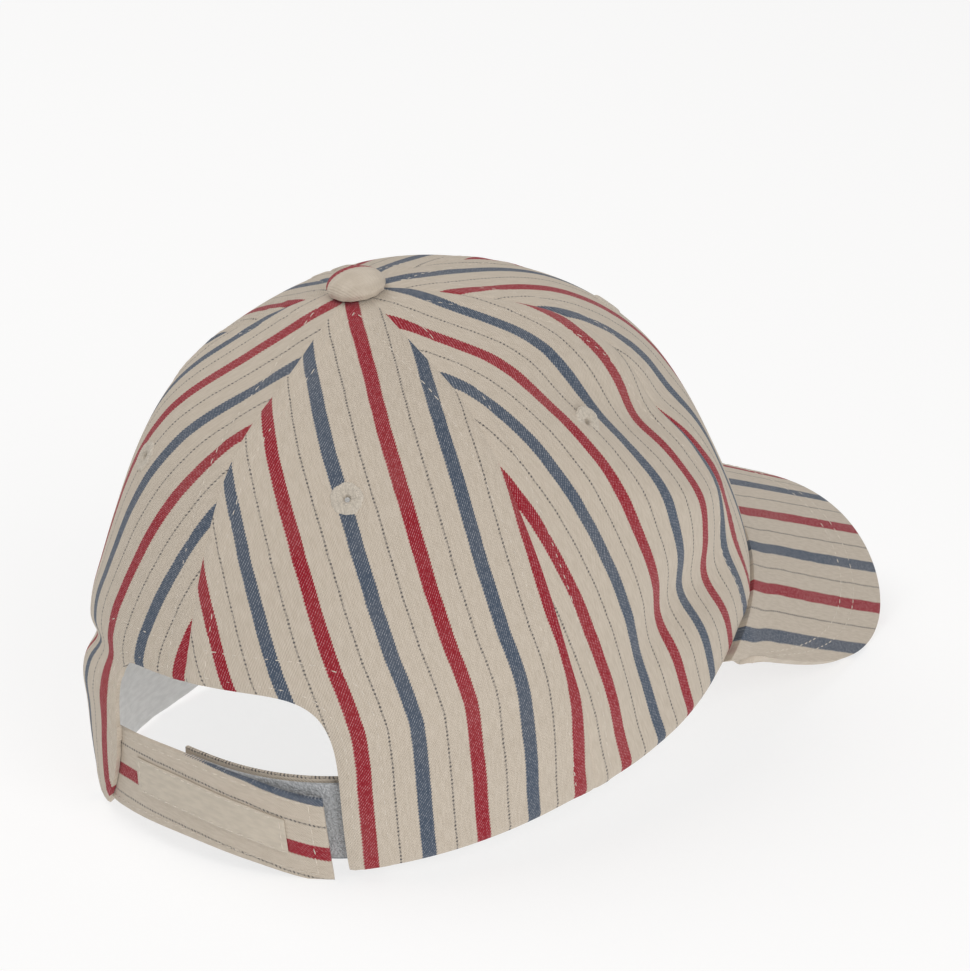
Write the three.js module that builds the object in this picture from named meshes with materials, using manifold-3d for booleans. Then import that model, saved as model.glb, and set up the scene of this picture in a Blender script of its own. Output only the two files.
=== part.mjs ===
// A child's six-panel cap of striped cotton twill, standing on its strap's end and the sides of its peak.
// Millimetres, +Z up, the peak towards -Y and the wearer's left towards +X.
// Every piece is drawn in the cap's own frame, with the rim at height 0, and then pitched back to stand.

import * as THREE from "three";
import { mergeVertices } from "three/addons/utils/BufferGeometryUtils.js";
import Module from "manifold-3d";

const wasm = await Module();
wasm.setup();

// Crown
const rimHalfWidth = 74;
const rimHalfLength = 96;
const rimRoundness = 2.23; // 2 is an ellipse, more is squarer
const crownHeight = 111;
const buttonSetBack = 5.4;
const frontRise = 19.5; // the rim climbs this much to the middle of the front
const leftDroop = 12; // the soft rim sags this much on the wearer's left
const clothWall = 1.6;
const seamGap = 0.3;
const tipRadius = 2; // the panel tips end this far from the middle of the button

// How far the crown stands out from a plain half ellipsoid, as a share, by climb in degrees
// from the rim to the button.
const CROWN_FORM = [
  { climb: 0, back: 1.0, side: 1.0, front: 1.0 },
  { climb: 18, back: 1.003, side: 1.016, front: 0.962 },
  { climb: 36, back: 0.998, side: 1.034, front: 0.99 },
  { climb: 54, back: 1.002, side: 1.046, front: 0.992 },
  { climb: 72, back: 0.965, side: 0.997, front: 0.982 },
  { climb: 90, back: 1.0, side: 1.0, front: 1.0 },
];

// Dents and soft swellings of the cloth: the turn and climb of the middle and their spans in
// degrees, and the depth as a share of the crown's height, positive inwards.
const DENTS = [
  { turn: 189, climb: 48, turnSpan: 8, climbSpan: 6, depth: 0.03 },
  { turn: 200, climb: 41, turnSpan: 8, climbSpan: 6, depth: 0.036 },
  { turn: 210, climb: 36, turnSpan: 8, climbSpan: 6, depth: 0.028 },
  { turn: 195, climb: 28, turnSpan: 9, climbSpan: 5, depth: -0.022 },
  { turn: 206, climb: 23, turnSpan: 8, climbSpan: 5, depth: -0.02 },
  { turn: 187, climb: 14, turnSpan: 9, climbSpan: 6, depth: 0.022 },
  { turn: 199, climb: 12, turnSpan: 9, climbSpan: 6, depth: 0.025 },
  { turn: 181, climb: 0, turnSpan: 11, climbSpan: 6, depth: -0.016 },
  { turn: 8, climb: 0, turnSpan: 26, climbSpan: 18, depth: 0.08 },
  { turn: 163, climb: 9, turnSpan: 8, climbSpan: 6, depth: -0.012 },
  { turn: 150, climb: 14, turnSpan: 20, climbSpan: 5, depth: 0.008 },
  { turn: 41, climb: 35, turnSpan: 20, climbSpan: 14, depth: 0.014 },
  { turn: 50, climb: 22, turnSpan: 14, climbSpan: 5, depth: 0.018 },
  { turn: 318, climb: 24, turnSpan: 11, climbSpan: 9, depth: 0.012 },
];

// Panels, by the turns of the seams at their two sides, with the eyelet's turn and climb.
const PANELS = [
  { name: "back_left", from: 18, to: 90, eyelet: { turn: 53, climb: 48.5 } },
  { name: "back_right", from: 90, to: 162, eyelet: { turn: 127, climb: 48.5 } },
  { name: "side_right", from: 162, to: 212.5, eyelet: { turn: 189, climb: 43 } },
  { name: "front_right", from: 212.5, to: 270, eyelet: { turn: 239, climb: 45 } },
  { name: "front_left", from: 270, to: 327.5, eyelet: { turn: 301, climb: 45 } },
  { name: "side_left", from: 327.5, to: 378, eyelet: { turn: 351, climb: 43 } },
];
const panelColumns = 12;
const panelRows = 18;

// Eyelets and button
const eyeletRadius = 4;
const eyeletHoleRadius = 1.3;
const eyeletBarrelWall = 0.6;
const eyeletHeight = 0.8;
const eyeletSides = 12;
const buttonRadius = 7.6;
const buttonHeight = 4.6;
const buttonSides = 24;

// Arched opening at the back
const archHalfWidth = 38.5;
const archHeight = 45.3;
const archSquareness = 5.2;
const archLeftSquareness = 9; // its left corner is sharper
const archLeftLean = 13; // its left side leans in by this much, over this height
const archLeanHeight = 26;

// Peak
const peakHalfWidth = 71;
const peakReach = 52; // past the front of the rim
const peakShoulder = 50; // the peak is widest this far in front of the middle of the rim
const peakSquareness = 3;
const peakSlope = 32; // degrees, downwards to the front
const peakCamber = 55; // the drop of its sides below its middle line
const camberPower = 2.8;
const peakThickness = 3;
const peakEaseLength = 16; // its under face turns square to its upper one over this distance
const peakFrom = 199; // turns of the rim where the peak's two sides end
const peakTo = 341;
const peakColumns = 24;
const peakRows = 7;

// Sweatband
const bandHeight = 30;
const bandWall = 1.2;
const bandFrom = 127;
const bandTo = 413;
const bandLift = 0.6;

// Closing straps, with their tapes, as layers inwards from the crown's outer face
const strapHeight = 22.5;
const strapWall = 1.2;
const tapeWall = 1;
const tapeMargin = 2.2;
const layerGap = 0.3;
const strapBulge = 1.5; // the free end stands out this much
const strapSwingFrom = 70; // the straps leave the crown's wall from this turn on
const outerStrapFrom = 54;
const outerStrapTo = 117.5;
const innerStrapFrom = 86;
const innerStrapTo = 126;
const innerRiseLeft = 4.5; // its lower edge above the rim, at its two ends
const innerRiseRight = 0.2;
const hookFrom = 90;
const hookTo = 114;
const loopFrom = 88;
const loopTo = 122.5;
const labelFrom = 75;
const labelTo = 110.2;
const labelHeight = 9.2;
const labelRiseLeft = 7.8; // its lower edge above the outer strap's, at its two ends
const labelRiseRight = 6;
const labelWall = 0.8;

// The lower edge of the outer strap: the turn in degrees, and its height above the rim as a share
// of the strap's height.
const STRAP_LINE = [
  { turn: 54, rise: 0.02 },
  { turn: 70, rise: 0.17 },
  { turn: 86, rise: 0.21 },
  { turn: 102, rise: 0.1 },
  { turn: 118, rise: -0.13 },
];

// Standing
const restFlat = 0.8; // the cloth is pressed flat by this much where it stands

const twill = new THREE.MeshStandardMaterial({ color: 0xcdc3b2, roughness: 0.92, metalness: 0 });
const thread = new THREE.MeshStandardMaterial({ color: 0xdcd6c9, roughness: 0.85, metalness: 0 });
const bandCloth = new THREE.MeshStandardMaterial({ color: 0xd4d6d8, roughness: 0.9, metalness: 0 });
const tapePile = new THREE.MeshStandardMaterial({ color: 0xc9ccce, roughness: 0.95, metalness: 0 });

function radians(degrees) {
  return THREE.MathUtils.degToRad(degrees);
}

// A smooth value through the rows of a table with evenly spaced places
function tableValue(rows, place, column, at) {
  const step = rows[1][place] - rows[0][place];
  const position = THREE.MathUtils.clamp((at - rows[0][place]) / step, 0, rows.length - 1.0001);
  const row = Math.floor(position);
  const value = (index) => rows[THREE.MathUtils.clamp(index, 0, rows.length - 1)][column];
  const t = position - row;
  const before = (value(row + 1) - value(row - 1)) / 2;
  const after = (value(row + 2) - value(row)) / 2;
  const cubic = 2 * value(row) - 2 * value(row + 1) + before + after;
  const square = 3 * value(row + 1) - 3 * value(row) - 2 * before - after;
  return ((cubic * t + square) * t + before) * t + value(row);
}

function bell(distance, span) {
  return Math.exp(-((distance / span) ** 2));
}

function turnBetween(turn, other) {
  return THREE.MathUtils.euclideanModulo(turn - other + 180, 360) - 180;
}

// The crown's share of a plain half ellipsoid at a turn and climb, in degrees
function crownForm(turn, climb) {
  const across = Math.cos(radians(turn)) ** 2;
  const lengthwise = Math.sin(radians(turn)) > 0 ? "back" : "front";
  const side = tableValue(CROWN_FORM, "climb", "side", climb);
  const middle = tableValue(CROWN_FORM, "climb", lengthwise, climb);
  let form = across * side + (1 - across) * middle;
  for (const dent of DENTS) {
    const round = bell(turnBetween(turn, dent.turn), dent.turnSpan);
    form -= dent.depth * round * bell(climb - dent.climb, dent.climbSpan);
  }
  return form;
}

// How high the rim's lower edge runs above the rim's plane at a turn
function rimRise(turn) {
  const forward = Math.max(-Math.sin(radians(turn)), 0);
  const leftward = Math.max(Math.cos(radians(turn)), 0);
  return frontRise * forward ** 2 - leftDroop * leftward ** 4;
}

// A point of the crown's outer face
function crownPoint(turn, climb) {
  const east = Math.cos(radians(turn));
  const north = Math.sin(radians(turn));
  const sum = Math.abs(east) ** rimRoundness + Math.abs(north) ** rimRoundness;
  const spread = crownForm(turn, climb) * sum ** (-1 / rimRoundness) * Math.cos(radians(climb));
  const rise = Math.sin(radians(climb));
  return new THREE.Vector3(
    rimHalfWidth * east * spread,
    rimHalfLength * north * spread + buttonSetBack * rise ** 2,
    rimRise(turn) * (1 - rise) + crownForm(turn, climb) * crownHeight * rise,
  );
}

function crownNormal(turn, climb) {
  const small = 0.5;
  const round = crownPoint(turn + small, climb).sub(crownPoint(turn - small, climb));
  const lower = crownPoint(turn, Math.max(climb - small, -90));
  const upwards = crownPoint(turn, climb + small).sub(lower);
  return round.cross(upwards).normalize();
}

// A point a given depth inside the crown's outer face, moved round by a given distance
function crownInside(turn, climb, depth, sideways = 0) {
  const point = crownPoint(turn, climb);
  const normal = crownNormal(turn, climb);
  const round = crownPoint(turn + 1, climb).sub(point).normalize();
  return point.addScaledVector(normal, -depth).addScaledVector(round, sideways);
}

function climbAtHeight(height) {
  return THREE.MathUtils.radToDeg(Math.asin(height / crownHeight));
}

// A closed body from two skins, each a function of two shares from 0 to 1
function slab(columns, rows, outer, inner) {
  const positions = [];
  const index = [];
  const skinSize = (columns + 1) * (rows + 1);
  for (const skin of [outer, inner]) {
    for (let i = 0; i <= columns; i += 1) {
      for (let j = 0; j <= rows; j += 1) {
        positions.push(...skin(i / columns, j / rows).toArray());
      }
    }
  }
  const at = (skin, i, j) => skin * skinSize + i * (rows + 1) + j;
  const quad = (a, b, c, d) => index.push(a, b, c, a, c, d);
  for (let i = 0; i < columns; i += 1) {
    for (let j = 0; j < rows; j += 1) {
      quad(at(0, i, j), at(0, i + 1, j), at(0, i + 1, j + 1), at(0, i, j + 1));
      quad(at(1, i, j), at(1, i, j + 1), at(1, i + 1, j + 1), at(1, i + 1, j));
    }
    quad(at(0, i, 0), at(1, i, 0), at(1, i + 1, 0), at(0, i + 1, 0));
    quad(at(0, i, rows), at(0, i + 1, rows), at(1, i + 1, rows), at(1, i, rows));
  }
  for (let j = 0; j < rows; j += 1) {
    quad(at(0, 0, j), at(0, 0, j + 1), at(1, 0, j + 1), at(1, 0, j));
    quad(at(0, columns, j), at(1, columns, j), at(1, columns, j + 1), at(0, columns, j + 1));
  }
  const geometry = new THREE.BufferGeometry();
  geometry.setAttribute("position", new THREE.Float32BufferAttribute(positions, 3));
  geometry.setIndex(index);
  return geometry;
}

function toSolid(geometry) {
  const bare = geometry.clone();
  bare.deleteAttribute("normal");
  bare.deleteAttribute("uv");
  const merged = mergeVertices(bare, 1e-4);
  const vertProperties = new Float32Array(merged.attributes.position.array);
  const triVerts = new Uint32Array(merged.index.array);
  return new wasm.Manifold(new wasm.Mesh({ numProp: 3, vertProperties, triVerts }));
}

function toGeometry(solid) {
  const mesh = solid.getMesh();
  const geometry = new THREE.BufferGeometry();
  geometry.setAttribute("position", new THREE.Float32BufferAttribute(mesh.vertProperties, 3));
  geometry.setIndex(new THREE.BufferAttribute(mesh.triVerts, 1));
  return geometry;
}

// The peak's upper face as a height over the plan, a board bent across and sloping forwards
function peakHeight(x, y) {
  const slope = Math.tan(radians(peakSlope)) * (y + rimHalfLength);
  return frontRise + slope - peakCamber * (Math.abs(x) / peakHalfWidth) ** camberPower;
}

function peakOutline(share) {
  const angle = Math.PI * share;
  const squared = (value) => Math.sign(value) * Math.abs(value) ** (2 / peakSquareness);
  const forward = rimHalfLength + peakReach - peakShoulder;
  const x = -peakHalfWidth * squared(Math.cos(angle));
  return new THREE.Vector2(x, -peakShoulder - forward * squared(Math.sin(angle)));
}

// A point of the peak's upper face: the share round from the wearer's right to the left, and the
// share outwards from the crown to the edge
function peakTop(round, outwards) {
  const turn = THREE.MathUtils.lerp(peakFrom, peakTo, round);
  const seat = crownInside(turn, 0, -seamGap);
  const edge = peakOutline(round);
  const x = THREE.MathUtils.lerp(seat.x, edge.x, outwards);
  const y = THREE.MathUtils.lerp(seat.y, edge.y, outwards);
  const lift = seat.z + peakThickness / 2 - peakHeight(seat.x, seat.y);
  return new THREE.Vector3(x, y, peakHeight(x, y) + lift * (1 - outwards) ** 2);
}

// Square to the bent board, from its own slopes
function peakNormal(round, outwards) {
  const x = peakTop(round, outwards).x;
  const bend = (Math.abs(x) / peakHalfWidth) ** (camberPower - 1);
  const fall = (peakCamber * camberPower * bend) / peakHalfWidth;
  return new THREE.Vector3(Math.sign(x) * fall, -Math.tan(radians(peakSlope)), 1).normalize();
}

// The under face lies straight below the upper one at the crown's wall, and square to it further out
function peakUnder(round, outwards) {
  const top = peakTop(round, outwards);
  const lean = THREE.MathUtils.smoothstep(top.distanceTo(peakTop(round, 0)), 0, peakEaseLength);
  const upwards = new THREE.Vector3(0, 0, 1).lerp(peakNormal(round, outwards), lean).normalize();
  return top.addScaledVector(upwards, -peakThickness);
}

// The cap is pitched back until the peak's lowest side edges are level with the strap's free end
function standingPitch() {
  const low = climbAtHeight(strapLow(outerStrapTo));
  const heel = crownInside(outerStrapTo, low, strapDepth(outerStrapTo));
  let pitch = 0;
  for (let i = 0; i <= peakColumns; i += 1) {
    const edge = peakUnder(i / peakColumns, 1);
    pitch = Math.max(pitch, Math.atan2(heel.z - edge.z, heel.y - edge.y));
  }
  return { pitch, drop: heel.z * Math.cos(pitch) - heel.y * Math.sin(pitch) };
}

const standing = standingPitch();

// From the cap's own frame to the way it stands, pressed flat where it meets the surface
function stand(geometry) {
  const position = geometry.attributes.position;
  const cosine = Math.cos(standing.pitch);
  const sine = Math.sin(standing.pitch);
  for (let i = 0; i < position.count; i += 1) {
    const y = position.getY(i);
    const z = position.getZ(i);
    const height = z * cosine - y * sine - standing.drop - restFlat;
    position.setY(i, y * cosine + z * sine);
    position.setZ(i, Math.max(height, 0));
  }
  return geometry;
}

function piece(name, geometry, material) {
  const mesh = new THREE.Mesh(stand(geometry), material);
  mesh.name = name;
  return mesh;
}

// How far the arch's side stands out from the middle at a height, before its top rounds over
function archSide(height, leftwards) {
  const below = 1 - THREE.MathUtils.clamp(height / archLeanHeight, 0, 1);
  return archHalfWidth - (leftwards ? archLeftLean * (1 - below ** 2) : 0);
}

// The arched opening as a prism through the back of the crown
function archCutter() {
  const outline = new THREE.Shape();
  const points = 20;
  outline.moveTo(archHalfWidth, -archHeight);
  for (let i = 0; i <= points; i += 1) {
    const angle = (Math.PI * i) / points;
    const power = 2 / (Math.cos(angle) > 0 ? archLeftSquareness : archSquareness);
    const east = Math.sign(Math.cos(angle)) * Math.abs(Math.cos(angle)) ** power;
    const height = archHeight * Math.sin(angle) ** power;
    outline.lineTo(archSide(height, east > 0) * east, height);
  }
  outline.lineTo(-archHalfWidth, -archHeight);
  const prism = new THREE.ExtrudeGeometry(outline, { depth: rimHalfLength, bevelEnabled: false });
  prism.rotateX(Math.PI / 2);
  prism.translate(0, rimHalfLength + rimHalfLength / 2, 0);
  return toSolid(prism);
}

function outwardsFrame(turn, climb) {
  const axis = new THREE.Vector3(0, 1, 0);
  return new THREE.Quaternion().setFromUnitVectors(axis, crownNormal(turn, climb));
}

function eyeletCutter(eyelet) {
  const radius = eyeletHoleRadius + eyeletBarrelWall + seamGap;
  const drill = new THREE.CylinderGeometry(radius, radius, clothWall * 4, eyeletSides);
  drill.applyQuaternion(outwardsFrame(eyelet.turn, eyelet.climb));
  const middle = crownPoint(eyelet.turn, eyelet.climb);
  drill.translate(middle.x, middle.y, middle.z);
  return toSolid(drill);
}

function panel({ name, from, to, eyelet }, arch) {
  const skin = (depth) => (round, upwards) => {
    const turn = THREE.MathUtils.lerp(from, to, round);
    const top = 90 - THREE.MathUtils.radToDeg(tipRadius / rimHalfWidth);
    const climb = top * upwards;
    const sideways = (0.5 - round) * seamGap;
    return crownInside(turn, climb, depth, sideways);
  };
  let solid = toSolid(slab(panelColumns, panelRows, skin(0), skin(clothWall)));
  solid = solid.subtract(eyeletCutter(eyelet));
  if (name.startsWith("back")) {
    solid = solid.subtract(arch);
  }
  return piece(`panel_${name}`, toGeometry(solid), twill);
}

function eyelet(name, { turn, climb }) {
  const barrel = eyeletHoleRadius + eyeletBarrelWall;
  const base = seamGap;
  const profile = [
    new THREE.Vector2(eyeletHoleRadius, -clothWall + seamGap),
    new THREE.Vector2(barrel, -clothWall + seamGap),
    new THREE.Vector2(barrel, base),
    new THREE.Vector2(eyeletRadius, base),
    new THREE.Vector2(eyeletRadius - eyeletHeight / 4, base + eyeletHeight * 0.7),
    new THREE.Vector2(eyeletRadius - eyeletHeight, base + eyeletHeight),
    new THREE.Vector2(barrel, base + eyeletHeight * 0.8),
    new THREE.Vector2(eyeletHoleRadius, base),
    new THREE.Vector2(eyeletHoleRadius, -clothWall + seamGap),
  ];
  const ring = new THREE.LatheGeometry(profile, eyeletSides);
  ring.applyQuaternion(outwardsFrame(turn, climb));
  const middle = crownPoint(turn, climb);
  ring.translate(middle.x, middle.y, middle.z);
  return piece(`eyelet_${name}`, toGeometry(toSolid(ring)), thread);
}

// The drop of the crown under the button's edge, where it falls away least
function dropUnderButton() {
  const top = crownPoint(0, 90);
  const climb = 90 - THREE.MathUtils.radToDeg(buttonRadius / rimHalfWidth);
  let drop = Infinity;
  for (let turn = 0; turn < 360; turn += 15) {
    drop = Math.min(drop, top.z - crownPoint(turn, climb).z);
  }
  return drop;
}

function topButton() {
  const drop = dropUnderButton();
  const profile = [
    new THREE.Vector2(0, seamGap),
    new THREE.Vector2(buttonRadius * 0.94, seamGap - drop * 0.8),
    new THREE.Vector2(buttonRadius, buttonHeight * 0.14),
  ];
  const arcSteps = 5;
  for (let i = 1; i < arcSteps; i += 1) {
    const angle = (Math.PI / 2) * (i / arcSteps);
    const height = buttonHeight * (0.14 + 0.86 * Math.sin(angle));
    profile.push(new THREE.Vector2(buttonRadius * Math.cos(angle) ** 0.85, height));
  }
  profile.push(new THREE.Vector2(0, buttonHeight));
  const dome = new THREE.LatheGeometry(profile, buttonSides);
  dome.rotateX(Math.PI / 2);
  const top = crownPoint(0, 90);
  dome.translate(top.x, top.y, top.z);
  return piece("top_button", toGeometry(toSolid(dome)), twill);
}

function peak() {
  return piece("peak", slab(peakColumns, peakRows, peakUnder, peakTop), twill);
}

// A strip inside the crown: its turns, its lower and upper heights as functions of the turn, and
// the depths of its two faces
function strip({ name, from, to, columns, rows, low, high, depth, wall, material }) {
  const skin = (extra) => (round, upwards) => {
    const turn = THREE.MathUtils.lerp(from, to, round);
    const height = THREE.MathUtils.lerp(low(turn), high(turn), upwards);
    return crownInside(turn, climbAtHeight(height), depth(turn) + extra);
  };
  return piece(name, slab(columns, rows, skin(0), skin(wall)), material);
}

function sweatband() {
  return strip({
    name: "sweatband",
    from: bandFrom,
    to: bandTo,
    columns: 60,
    rows: 6,
    low: () => bandLift,
    high: () => bandHeight,
    depth: () => clothWall + layerGap,
    wall: bandWall,
    material: bandCloth,
  });
}

// The stack of straps and tapes swings out of the crown towards the free end
function strapDepth(turn) {
  const share = THREE.MathUtils.smoothstep(turn, strapSwingFrom, outerStrapTo);
  return clothWall + layerGap - strapBulge * share;
}

function strapLow(turn) {
  return strapHeight * tableValue(STRAP_LINE, "turn", "rise", turn);
}

function innerStrapLow(turn) {
  const share = THREE.MathUtils.inverseLerp(innerStrapFrom, innerStrapTo, turn);
  return THREE.MathUtils.lerp(innerRiseLeft, innerRiseRight, share);
}

function labelLow(turn) {
  const share = THREE.MathUtils.inverseLerp(labelFrom, labelTo, turn);
  return strapLow(turn) + THREE.MathUtils.lerp(labelRiseLeft, labelRiseRight, share);
}

function straps() {
  const hookDepth = strapWall + layerGap;
  const loopDepth = hookDepth + tapeWall + layerGap;
  const innerDepth = loopDepth + tapeWall + layerGap;
  const outerTop = (turn) => strapLow(turn) + strapHeight;
  const innerTop = (turn) => innerStrapLow(turn) + strapHeight;
  return [
    strip({
      name: "strap_outer",
      from: outerStrapFrom,
      to: outerStrapTo,
      columns: 16,
      rows: 3,
      low: strapLow,
      high: outerTop,
      depth: strapDepth,
      wall: strapWall,
      material: twill,
    }),
    strip({
      name: "label",
      from: labelFrom,
      to: labelTo,
      columns: 12,
      rows: 2,
      low: labelLow,
      high: (turn) => labelLow(turn) + labelHeight,
      depth: (turn) => strapDepth(turn) - layerGap - labelWall,
      wall: labelWall,
      material: twill,
    }),
    strip({
      name: "hook_tape",
      from: hookFrom,
      to: hookTo,
      columns: 8,
      rows: 2,
      low: (turn) => strapLow(turn) + tapeMargin,
      high: (turn) => outerTop(turn) - tapeMargin,
      depth: (turn) => strapDepth(turn) + hookDepth,
      wall: tapeWall,
      material: tapePile,
    }),
    strip({
      name: "loop_tape",
      from: loopFrom,
      to: loopTo,
      columns: 12,
      rows: 2,
      low: (turn) => innerStrapLow(turn) + tapeMargin / 2,
      high: (turn) => innerTop(turn) - tapeMargin / 2,
      depth: (turn) => strapDepth(turn) + loopDepth,
      wall: tapeWall,
      material: tapePile,
    }),
    strip({
      name: "strap_inner",
      from: innerStrapFrom,
      to: innerStrapTo,
      columns: 12,
      rows: 3,
      low: innerStrapLow,
      high: innerTop,
      depth: (turn) => strapDepth(turn) + innerDepth,
      wall: strapWall,
      material: twill,
    }),
  ];
}

function cap() {
  const group = new THREE.Group();
  const arch = archCutter();
  for (const each of PANELS) {
    group.add(panel(each, arch));
    group.add(eyelet(each.name, each.eyelet));
  }
  group.add(topButton(), peak(), sweatband(), ...straps());
  const box = new THREE.Box3().setFromObject(group);
  const middle = box.getCenter(new THREE.Vector3());
  group.position.set(-middle.x, -middle.y, 0);
  group.updateMatrixWorld(true);
  return group;
}

export default cap();
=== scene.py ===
"""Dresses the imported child's cap: striped twill, stitching, sewn eyelets, straps and studio.

Sizes are in millimetres and angles in degrees in the cap's own frame, where the rim lies at
height 0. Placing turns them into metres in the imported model's frame. Turn 90 is the back, 180
the wearer's right and 270 the peak; climb 0 is the rim and 90 the button.
"""

from __future__ import annotations

import logging
import math
from dataclasses import dataclass
from enum import Enum
from typing import Callable

import bmesh
import bpy
import numpy as np
from mathutils import Matrix, Vector

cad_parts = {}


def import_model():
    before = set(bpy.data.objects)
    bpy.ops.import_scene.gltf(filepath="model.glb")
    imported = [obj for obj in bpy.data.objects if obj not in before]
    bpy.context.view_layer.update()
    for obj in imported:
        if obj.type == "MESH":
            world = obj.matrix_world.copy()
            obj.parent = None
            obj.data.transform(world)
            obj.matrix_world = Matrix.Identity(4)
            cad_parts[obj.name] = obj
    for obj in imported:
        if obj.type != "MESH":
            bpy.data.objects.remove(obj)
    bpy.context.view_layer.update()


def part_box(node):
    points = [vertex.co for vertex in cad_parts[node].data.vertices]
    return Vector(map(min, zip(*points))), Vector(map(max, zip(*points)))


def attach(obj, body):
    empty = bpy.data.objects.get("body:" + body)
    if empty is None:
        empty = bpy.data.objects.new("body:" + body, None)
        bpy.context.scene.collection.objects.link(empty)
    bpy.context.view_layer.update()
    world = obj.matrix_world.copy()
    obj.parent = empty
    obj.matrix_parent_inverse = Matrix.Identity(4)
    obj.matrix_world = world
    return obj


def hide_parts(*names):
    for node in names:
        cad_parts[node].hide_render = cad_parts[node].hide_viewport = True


LOG = logging.getLogger("cap")
MM = 0.001
BODY = "root"
SEED = 20557


class Slot(str, Enum):
    """The record's material slots."""

    TWILL = "striped_twill"
    THREAD = "thread"
    BAND = "band_cloth"
    TAPE = "closure_tape"
    LABEL = "label_cloth"


def table_value(values: tuple[float, ...], step: float, at: np.ndarray) -> np.ndarray:
    """Reads a smooth value from rows with evenly spaced places that start at 0.

    Args:
        values: the rows' values.
        step: the distance from one row to the next.
        at: the places to read.

    Returns:
        The value at each place.
    """
    rows = np.asarray(values, float)
    position = np.clip(np.asarray(at, float) / step, 0, len(rows) - 1.0001)
    row = np.floor(position).astype(int)
    t = position - row
    near, far = rows[row], rows[row + 1]
    before = (far - rows[np.maximum(row - 1, 0)]) / 2
    after = (rows[np.minimum(row + 2, len(rows) - 1)] - near) / 2
    cubic = 2 * near - 2 * far + before + after
    square = 3 * far - 3 * near - 2 * before - after
    return ((cubic * t + square) * t + before) * t + near


def smoothstep(value: np.ndarray, low: float, high: float) -> np.ndarray:
    """Rises smoothly from 0 at low to 1 at high."""
    t = np.clip((np.asarray(value, float) - low) / (high - low), 0, 1)
    return t * t * (3 - 2 * t)


def turn_between(turn: np.ndarray, other: float) -> np.ndarray:
    """The signed angle from another turn to this one, from -180 to 180."""
    return (turn - other + 180) % 360 - 180


def unit(vectors: np.ndarray) -> np.ndarray:
    """The vectors at length 1."""
    return vectors / np.maximum(np.linalg.norm(vectors, axis=-1, keepdims=True), 1e-12)


def reach_along(points: np.ndarray) -> np.ndarray:
    """The distance from a line's first point to each of its points."""
    steps = np.linalg.norm(np.diff(points, axis=0), axis=1)
    return np.concatenate([[0], np.cumsum(steps)])


def between(rows: np.ndarray, reach: np.ndarray, places: np.ndarray) -> np.ndarray:
    """Rows read at places between the points of a line."""
    return np.stack([np.interp(places, reach, column) for column in rows.T], -1)


@dataclass(frozen=True)
class Fold:
    """A crease or a swelling of the cloth along a line of the crown.

    The line's points are turn, climb and depth inwards in millimetres; width is its half-width.
    """

    line: tuple[tuple[float, float, float], ...]
    width: float


@dataclass(frozen=True)
class PanelCut:
    """One panel's cut: its seams' turns, its eyelet, and how the stripes lie on it.

    lean holds how far the panel's blue stripe stands from its middle, every 9 degrees of climb.
    """

    name: str
    start: float
    end: float
    eyelet: tuple[float, float]
    lean: tuple[float, ...]

    @property
    def middle(self) -> float:
        """The turn halfway between its seams."""
        return (self.start + self.end) / 2


LEAN_BACK_RIGHT = (11.3, 12.2, 12.6, 8.6, 4.8, 1.4, -2.4, -5.8, -9.0, -12.6, -15.5)
LEAN_BACK_LEFT = (-1.0, 1.0, 2.0, 0.0, 2.0, 5.2, 9.0, 12.0, 13.5, 15.0, 16.0)
LEAN_SIDE_RIGHT = (-17.4, -18.2, -18.2, -18.2, -18.4, -19.0, -20.2, -21.2, -22.2, -23.2, -24.0)
LEAN_FRONT_RIGHT = (2.0, 2.4, 3.0, 3.6, 4.2, 4.5, 4.5, 4.5, 3.0, 1.0, 0.0)
LEAN_SIDE_LEFT = tuple(-value for value in LEAN_SIDE_RIGHT)
LEAN_FRONT_LEFT = tuple(-value for value in LEAN_FRONT_RIGHT)

PANELS = (
    PanelCut("back_left", 18, 90, (53, 48.5), LEAN_BACK_LEFT),
    PanelCut("back_right", 90, 162, (127, 48.5), LEAN_BACK_RIGHT),
    PanelCut("side_right", 162, 212.5, (189, 43), LEAN_SIDE_RIGHT),
    PanelCut("front_right", 212.5, 270, (239, 45), LEAN_FRONT_RIGHT),
    PanelCut("front_left", 270, 327.5, (301, 45), LEAN_FRONT_LEFT),
    PanelCut("side_left", 327.5, 378, (351, 43), LEAN_SIDE_LEFT),
)

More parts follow.
